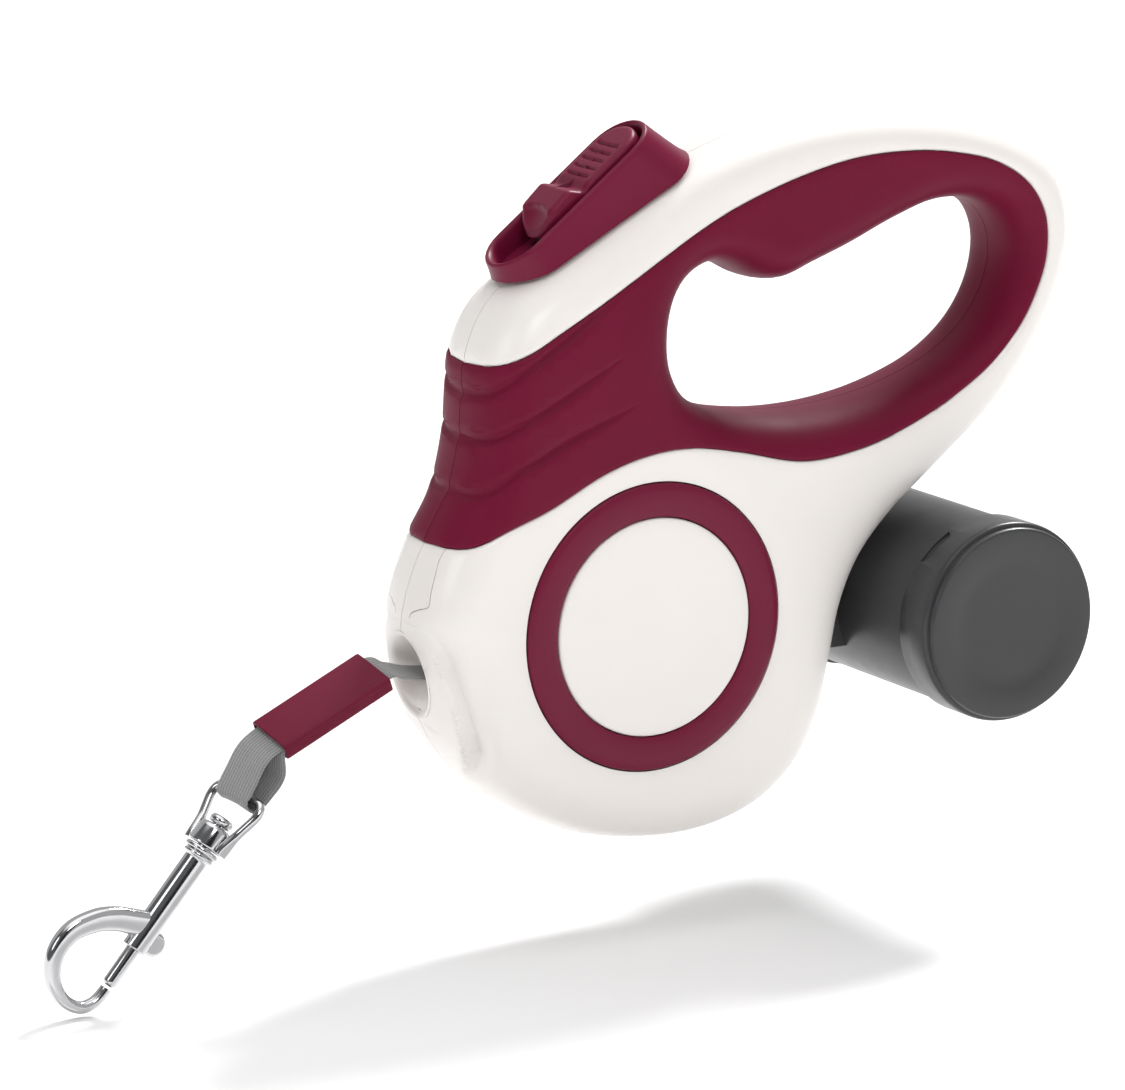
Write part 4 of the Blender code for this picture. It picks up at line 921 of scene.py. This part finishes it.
def make_bezel(maroon):
    round_over, top_width, deep_width = 0.75 * MM, BEZEL_WIDTH - 1.2 * MM, BUTTON_WIDTH + 1.2 * MM
    rings = []
    for k in range(9):
        t = k / 8
        swell = (1 - t ** 0.8) * MM
        loop = stadium(BEZEL_LENGTH + 5 * swell, top_width + 2 * swell, 1.5 * swell)
        rings.append([(x, y, (bezel_foot(x, y) + 0.2 * MM) * (1 - t) - round_over * t) for x, y in loop])
    for k in range(1, 6):
        a = math.pi * k / 6
        inset = 1.35 * MM * (1 - math.cos(a))
        loop = stadium(BEZEL_LENGTH - inset, top_width - inset, 0)
        rings.append([(x, y, round_over * (math.sin(a) - 1)) for x, y in loop])
    for depth, shrink in ((1.2, 0.0), (3.5, 0.3), (6.0, 0.6)):
        loop = stadium(BEZEL_LENGTH - (3.4 + shrink) * MM, deep_width - shrink * MM, 0)
        rings.append([(x, y, max(-depth * MM, bezel_foot(x, 0) + RECESS_FLOOR + 0.1 * MM)) for x, y in loop])
    loop = stadium(BEZEL_LENGTH - 7 * MM, BUTTON_WIDTH - 2.4 * MM, 0)
    rings.append([(x, y, bezel_foot(x, 0) + RECESS_FLOOR) for x, y in loop])
    bezel = new_object("brake_bezel", skin(rings), maroon, AT_BUTTON, 45)
    cut(bezel, new_object("bezel_slot", block((-1, 0, -9.5), (21.6, 9, 14)), maroon, AT_BUTTON))
    finish_piece(bezel, "housing", "maroon_plastic", "button_bezel")


def crown(x, y):
    """Height of the button's top: a ribbed pad behind, a dip, and the lock catch with its sloping tongue."""
    rise = 1.8 * MM * float(smoothstep((1.4 * MM - x) / (3.2 * MM)))
    dip = 0.55 * MM * math.exp(-((x - 1.4 * MM) / (1.6 * MM)) ** 2)
    edge = TONGUE_EDGE - (y / (8.0 * MM)) ** 2 * 3.4 * MM          # the tongue starts along an arc
    step = 0.6 * MM * float(smoothstep((edge - x) / (0.7 * MM)))
    fall = 0.40 * max(0.0, edge - x) + 0.09 * max(0.0, -1.8 * MM - x)
    scoop = 0.35 * MM * max(0.0, 1 - (y / (5 * MM)) ** 2) * float(smoothstep((edge - x) / (1.6 * MM)))
    return PAD_TOP + rise - dip - step - fall - scoop


def pressed(x, y):
    """The five short cross grooves on the button's pad."""
    depth = 0.0
    reach = max(0.0, min(1.0, (4.7 * MM - abs(y)) / (0.9 * MM)))
    for n in range(5):
        off = abs(x - (4.7 + 2.36 * n) * MM)
        depth += 0.5 * MM * max(0.0, 1 - (off / (0.5 * MM)) ** 2) * reach
    return depth


def make_button(maroon, nylon):
    rings = []
    base = stadium(BUTTON_LENGTH, BUTTON_WIDTH, BUTTON_SHIFT, 22, 84)
    rolled, steps = 1.2 * MM, 20

    def under(x):
        """The underside, which clears the recess when the button is pressed and slid."""
        return max(-3.1 * MM, bezel_foot(x - LOCK_TRAVEL, 0) + RECESS_FLOOR + BUTTON_TRAVEL + 0.25 * MM)

    def over(x, y, roll=1.0):
        return max(crown(x, y) - rolled * roll - pressed(x, y), under(x) + 0.3 * MM)

    rings.append([(x, y, under(x)) for x, y in base])
    rings.append([(x, y, (under(x) + over(x, y)) / 2) for x, y in base])
    for k in range(steps):
        inset = BUTTON_WIDTH / 2 * 0.995 * (k / (steps - 1)) ** 1.25
        loop = stadium(BUTTON_LENGTH - 2 * inset, BUTTON_WIDTH - 2 * inset, BUTTON_SHIFT, 22, 84)
        roll = 1 - math.sqrt(max(0.0, 1 - max(0.0, 1 - inset / (1.4 * MM)) ** 2))
        rings.append([(x, y, over(x, y, roll)) for x, y in loop])
    button = new_object("brake_thumb_button", skin(rings), maroon, AT_BUTTON, 50)
    finish_piece(button, "button", "maroon_plastic", "brake_button")
    slider = block((-9.2, 0, -16), (2.4, 5, 22), block((-1.2, 0, -4.6), (19, 8, 2.1)))
    bmesh.ops.bevel(slider, geom=slider.edges[:], offset=0.3 * MM, segments=2, affect="EDGES")
    made = new_object("button_slider", slider, nylon, AT_BUTTON, 35)
    finish_piece(made, "press", "black_nylon", "button_carrier")


# ---- Tape, sleeve and snap ----
def tape_route():
    run = SLEEVE_END - SLEEVE_START
    along = run.normalized()
    over = Vector((0, 1, 0)).cross(along)
    over = over if over.z > 0 else -over
    axis = Vector((-math.cos(SNAP_SLOPE), 0, -math.sin(SNAP_SLOPE)))
    lift = Vector((-math.sin(SNAP_SLOPE), 0, math.cos(SNAP_SLOPE)))
    wrap, bar = 2.0 * MM, EYE_BAR
    route = [Vector((-45.5, 0, -7.2)) * MM, Vector((-51, 0, -6.9)) * MM, Vector((-56, 0, -5.8)) * MM,
             SLEEVE_START + over * 0.45 * MM, SLEEVE_START + run * 0.5 + over * 0.45 * MM,
             SLEEVE_END + over * 0.45 * MM, bar - axis * 8.2 * MM + lift * 3.4 * MM,
             bar - axis * 3 * MM + lift * 2.6 * MM]
    for k in range(5):
        a = math.radians(70 - 35 * k)
        route.append(bar + lift * wrap * math.sin(a) + axis * wrap * math.cos(a))
    route += [bar - axis * 3 * MM - lift * 2.4 * MM, bar - axis * 8 * MM - lift * 2.2 * MM,
              SLEEVE_END - over * 0.5 * MM, SLEEVE_END - over * 0.5 * MM - along * 3 * MM,
              SLEEVE_END - over * 0.5 * MM - along * 6 * MM]
    return route, along, axis


def make_tape(webbing, sleeve_mat):
    route, along, axis = tape_route()
    path = smooth_path(route, 0.7 * MM)
    flat = Vector((0, 1, 0))
    on_sleeve = Matrix.Rotation(-TAPE_ROLL, 3, along) @ flat
    on_bar = Matrix.Rotation(-TAPE_ROLL, 3, axis) @ flat

    def side(i):
        into = min(max((path[i] - route[0]).length / (16 * MM), 0), 1)
        off_bar = min(max(((path[i] - EYE_BAR).length - 3 * MM) / (10 * MM), 0), 1)
        return on_bar.lerp(flat.lerp(on_sleeve, into), off_bar)

    section = oval(TAPE_WIDTH / 2, TAPE_THICK / 2, 5.0, 28)
    bm = skin(sweep_rings(path, lambda i: section, side))
    uv = bm.loops.layers.uv.new("tape")
    runs = [0.0]
    for a, b in zip(path, path[1:]):
        runs.append(runs[-1] + (b - a).length)
    bm.verts.index_update()
    for face in bm.faces:
        for loop in face.loops:
            ring, k = divmod(loop.vert.index, len(section))
            loop[uv].uv = (section[k][0], runs[ring])
    tape = new_object("leash_tape", bm, webbing, AT_REEL, 50)
    tape.data.transform(tape.matrix_world)
    tape.matrix_world = Matrix()
    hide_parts("tape_lead")
    row_path = [p + REEL for p in path]
    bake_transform(tape)

    outer = oval(SLEEVE_WIDTH / 2, SLEEVE_THICK / 2, 9.0, 40)
    inner = oval(5.7 * MM, 1.5 * MM, 9.0, 40)
    long = (SLEEVE_END - SLEEVE_START).length / MM
    ends = [(0, 0.955), (0.12, 0.985), (0.3, 1.0)]
    stations = [(place, shrink, outer) for place, shrink in ends + [(long / 2, 1.0)]]
    stations += [(long - place, shrink, outer) for place, shrink in ends[::-1]]
    stations += [(long, 1.0, inner), (long - 3, 0.98, inner), (3, 0.98, inner), (0, 1.0, inner)]
    over = along.cross(on_sleeve)
    rings = []
    for place, shrink, shape in stations:
        middle = SLEEVE_START + along * place * MM
        narrow = 1 - (1 - shrink) * 0.35
        rings.append([middle + on_sleeve * a * narrow + over * b * shrink for a, b in shape])
    sleeve = new_object("stop_sleeve", skin(rings, closed=True), sleeve_mat, AT_REEL, 30)
    finish_piece(sleeve, "tape_end", "maroon_sleeve", "tape_sleeve")
    return tape, sleeve, row_path, runs[-1]


def make_snap(chrome):
    """Local X is the snap's axis and local Z the side that the bow bulges to; points are in millimetres."""
    turn = Matrix(((-math.cos(SNAP_SLOPE), 0, -math.sin(SNAP_SLOPE)), (0, -1, 0),
                   (-math.sin(SNAP_SLOPE), 0, math.cos(SNAP_SLOPE)))).to_4x4()
    place = Matrix.Translation(REEL + EYE_BAR) @ turn
    spin = Matrix.Rotation(-TAPE_ROLL, 3, "X")
    corners = [(13.6, 4.8), (11, 5.1), (8.5, 5.6), (5.8, 6.4), (3.4, 7.1), (1.5, 7.1), (0.3, 6.3), (0, 5.0),
               (0, 0)]
    corners += [(x, -y) for x, y in corners[-2::-1]]
    line = smooth_path([spin @ Vector((x * MM, y * MM, 0)) for x, y in corners], 0.8 * MM)
    up = spin @ Vector((0, 0, 1))

    def wire(i):
        # The arms flatten where they close on the collar
        low = min(1.0, max(0.0, (line[i].x - 8 * MM) / (4 * MM)))
        return oval((1.05 + 0.55 * low) * MM, (1.05 - 0.2 * low) * MM, 2.0 + 1.4 * low, 20)

    eye = new_object("swivel_eye", skin(sweep_rings(line, wire, lambda i: up)), chrome, place, 60)
    finish_piece(eye, "eye", "chrome", "snap_eye")
    collar = lathe([(0, 8.6), (3.3, 8.6), (3.9, 9.3), (4.2, 13.8), (0, 13.8)], [0, 0.5, 0.6, 0.5, 0], "X", 64)
    made = new_object("swivel_collar", collar, chrome, place, 40)
    finish_piece(made, "eye", "chrome")

    stub = [(0, 6.3), (2.4, 6.3), (2.9, 7.3), (2.3, 8.3), (1.7, 8.3), (1.7, 14.1)]
    flanges = [(3.9, 14.1), (4.1, 14.7), (3.9, 15.2), (3.2, 15.4), (3.6, 15.7), (3.6, 16.3)]
    tube = [(BARREL_RADIUS, 16.7), (BARREL_RADIUS, BARREL_END), (BARREL_BORE, BARREL_END),
            (BARREL_BORE, 20), (0, 20)]
    radii = [0, 0.8, 0.7, 0.6, 0, 0.1, 0.4, 0.4, 0.4, 0.1, 0.3, 0.3, 0.5, 0.35, 0.2, 0, 0]
    barrel = new_object("snap_barrel", lathe(stub + flanges + tube, radii, "X", 72), chrome, place, 40)
    cut(barrel, new_object("knob_slot", block((32.0, 0, -2.5), (15.6, 1.8, 4)), chrome, place))
    finish_piece(barrel, "hook", "chrome", "snap_body")

    bow = [(34.2, 1.4), (35.6, 4.6), (37.2, 8.0), (40.0, 11.6), (44.8, 14.8), (50.4, 15.0), (55.2, 11.9),
           (57.3, 7.2), (56.7, 2.9), (54.4, 0.7), (51.8, 0.05), (50.0, 0)]
    path = smooth_path([Vector((x * MM, 0, z * MM)) for x, z in bow], 0.55 * MM)

    def ribbon(i):
        t = i / (len(path) - 1)
        deep = 2.75 - 1.45 * smoothstep(t / 0.95)
        wide = 2.0 - 0.5 * smoothstep(t / 0.9)
        return oval(wide * MM, deep * MM, 3.4 - 1.4 * t, 32)

    rings = sweep_rings(path, ribbon, lambda i: Vector((0, 1, 0)))
    hook = new_object("hook_bow", skin(rings), chrome, place, 60)
    finish_piece(hook, "hook", "chrome")

    bolt = lathe([(0, 31), (BOLT_RADIUS, 31), (BOLT_RADIUS, BOLT_TIP - 0.7), (0.9, BOLT_TIP), (0, BOLT_TIP)],
                 [0, 0.2, 0.5, 0.4, 0], "X", 48)
    made = new_object("sprung_bolt", bolt, chrome, place, 40)
    finish_piece(made, "bolt", "chrome", "snap_bolt")
    knob = lathe([(0, -0.75), (2.2, -0.75), (2.75, -0.3), (2.75, 0.3), (2.2, 0.75), (0, 0.75)],
                 [0, 0.4, 0.25, 0.25, 0.4, 0], sides=48)
    made = new_object("thumb_knob", knob, chrome, place @ Matrix.Translation((36.6 * MM, 0, -3.4 * MM)), 40)
    finish_piece(made, "bolt", "chrome", "bolt_knob")
    return [cad["bolt_spring"]] + [bpy.data.objects[n] for n in
                                   ("swivel_eye", "swivel_collar", "snap_barrel", "hook_bow", "sprung_bolt",
                                    "thumb_knob")]


# ---- Bag dispenser ----
def make_dispenser(dark):
    face, rim = CAN_HALF / MM, CAP_RADIUS / MM
    edge = face - CAP_SKIRT

    def notch(radius, along, angle):
        """The skirt is cut back over a thumb notch."""
        turn = abs((angle - math.radians(129) + math.pi) % (2 * math.pi) - math.pi)
        wave = float(smoothstep((math.radians(14) - turn) / math.radians(5)))
        return math.copysign(2.8 * MM * wave, along) * (abs(abs(along) / MM - edge) < 0.5)

    cap = [(0, face - 0.85), (13, face - 0.8), (16.4, face - 0.25), (19, face - 0.02), (21.2, face - 0.1),
           (21.55, face - 1.0), (21.2, face - 1.7), (rim - 0.3, face - 1.9), (rim, face - 2.6),
           (rim, edge + 0.3), (rim - 0.25, edge), (CAP_BORE, edge), (CAP_BORE, face - 2.4), (0, face - 2.4)]
    radii = [0, 4, 3, 2, 0.6, 0.3, 0.2, 0.3, 0.6, 0, 0, 0, 0, 0]
    for side, name, body, cad_name in ((-1, "dispenser_lid", "cap", "dispenser_cap"),
                                       (1, "dispenser_base", "housing", "dispenser_end_cap")):
        lid = new_object(name, lathe(cap, radii, side=side, shift=notch), dark, AT_CAN, 40)
        finish_piece(lid, body, "dark_plastic", cad_name)
    end, step, neck = face - 2.6, edge - 0.4, CAP_BORE - 0.3
    barrel = [(neck, -end), (neck, -step), (TUBE_RADIUS, -step), (TUBE_RADIUS, step), (neck, step),
              (neck, end), (TUBE_BORE, end), (TUBE_BORE, -end)]
    made = new_object("dispenser_tube", lathe(barrel, [0.2] * 8), dark, AT_CAN, 40)
    cut(made, new_object("slit", block((0, 0, -20), (4, 24, 10)), dark, AT_CAN))
    finish_piece(made, "housing", "dark_plastic", "dispenser_barrel")


# ---- Floor, light and world ----
def add_lamp(light, place, towards):
    """Places a light that shines from the direction towards."""
    lamp = bpy.data.objects.new(light.name, light)
    lamp.location = place
    lamp.rotation_euler = towards.to_track_quat("Z", "Y").to_euler()
    bpy.context.scene.collection.objects.link(lamp)


def make_stage():
    bm = bmesh.new()
    bmesh.ops.create_grid(bm, x_segments=1, y_segments=1, size=4.0)
    mat, tree, shader = new_material("floor", 0.6)
    feed(shader, Base_Color=(0.93, 0.93, 0.93, 1))
    floor = new_object("floor", bm, mat, Matrix.Translation((0, 0, FLOOR)))
    for name, place, size, power in LIGHTS:
        light = bpy.data.lights.new(name, "AREA")
        light.shape, light.size, light.energy = "DISK", size, power
        add_lamp(light, Vector(place), Vector(place) - LIGHTS_AIM)
    sun = bpy.data.lights.new("sun", "SUN")
    sun.energy, sun.angle = SUN_POWER, math.radians(14)
    add_lamp(sun, SUN_FROM, SUN_FROM)
    make_world()
    bpy.context.scene.view_settings.view_transform = "Standard"


def make_world():
    """A room with a bright ceiling, pale walls, and one dark side that gives bright metal its shape."""
    world = bpy.data.worlds.new("studio")
    world.use_nodes = True
    tree = world.node_tree
    direction = node(tree, "ShaderNodeTexCoord").outputs["Generated"]
    split = node(tree, "ShaderNodeSeparateXYZ", Vector=direction).outputs
    turn = maths(tree, "ARCTAN2", split["Y"], split["X"])
    round_room = node(tree, "ShaderNodeMapRange", Value=turn, From_Min=-math.pi, From_Max=math.pi)
    pale, dim, black = (0.62,) * 3, (0.16, 0.165, 0.17), (0.03, 0.03, 0.033)
    walls = ramp(tree, round_room.outputs["Result"],
                 [(0.0, dim), (0.17, dim), (0.20, black), (0.255, black), (0.275, pale), (0.45, pale),
                  (0.48, black), (0.53, black), (0.56, pale), (0.84, pale), (0.88, dim), (1.0, dim)])
    height = ramp(tree, split["Z"], [(0.78, (0, 0, 0)), (0.92, (1, 1, 1))])
    mix = node(tree, "ShaderNodeMix")
    mix.data_type = "RGBA"
    feed(mix, Factor=height, A=walls, B=(CEILING, CEILING, CEILING, 1))
    feed(tree.nodes["Background"], Color=mix.outputs["Result"], Strength=1.0)
    bpy.context.scene.world = world


def make_materials():
    """One material for each slot: colour, roughness, the grain's scale and depth, the tint's change."""
    grey, black = (0.27, 0.27, 0.27), (0.03, 0.03, 0.032)
    return {
        "housing_white": moulded("white_abs", (0.80, 0.764, 0.735), 0.34, 3000, 0.000012, 0.012, coat=0.12),
        "soft_grip": moulded("maroon_soft_grip", (0.138, 0.0032, 0.026), 0.52, 2400, 0.00004, 0.05,
                             sheen=0.02, shine=0.12),
        "maroon_plastic": moulded("maroon_plastic", (0.145, 0.0040, 0.030), 0.4, 2800, 0.00002, 0.04,
                                  shine=0.2),
        "maroon_sleeve": moulded("maroon_sleeve", (0.130, 0.0045, 0.024), 0.5, 2400, 0.00003, 0.05,
                                 shine=0.15),
        "dark_plastic": moulded("dark_grey_plastic", (0.040, 0.040, 0.042), 0.36, 2800, 0.00002, 0.05,
                                coat=0.1, shine=0.3),
        "black_nylon": moulded("black_nylon", black, 0.5, 2200, 0.00003, 0.06),
        "card": moulded("card", (0.42, 0.32, 0.22), 0.85, 900, 0.00008, 0.1),
        "chrome": polished("chrome", (0.55, 0.55, 0.56), 0.10),
        "spring_steel": polished("spring_steel", (0.55, 0.56, 0.58), 0.28, 0.3),
        "grey_webbing": woven("grey_webbing", grey),
        "bag_film": film("bag_film", black)}


def main():
    mats = make_materials()
    for part in frame["record"]["subparts"]:
        obj = cad[part["node"]]
        obj.data.materials.clear()
        obj.data.materials.append(mats[part["material_slot"]])
    white, maroon = mats["housing_white"], mats["maroon_plastic"]

    make_camera()
    loops = edge_loops(HOUSING_STEP)
    tape, sleeve, path, length = make_tape(mats["grey_webbing"], mats["maroon_sleeve"])
    on_tape = make_snap(mats["chrome"])
    make_housing(white, mats["soft_grip"], loops)
    make_nozzle(white, loops)
    make_trim(white, maroon)
    make_bezel(maroon)
    make_button(maroon, mats["black_nylon"])
    make_dispenser(mats["dark_plastic"])
    make_stage()


main()
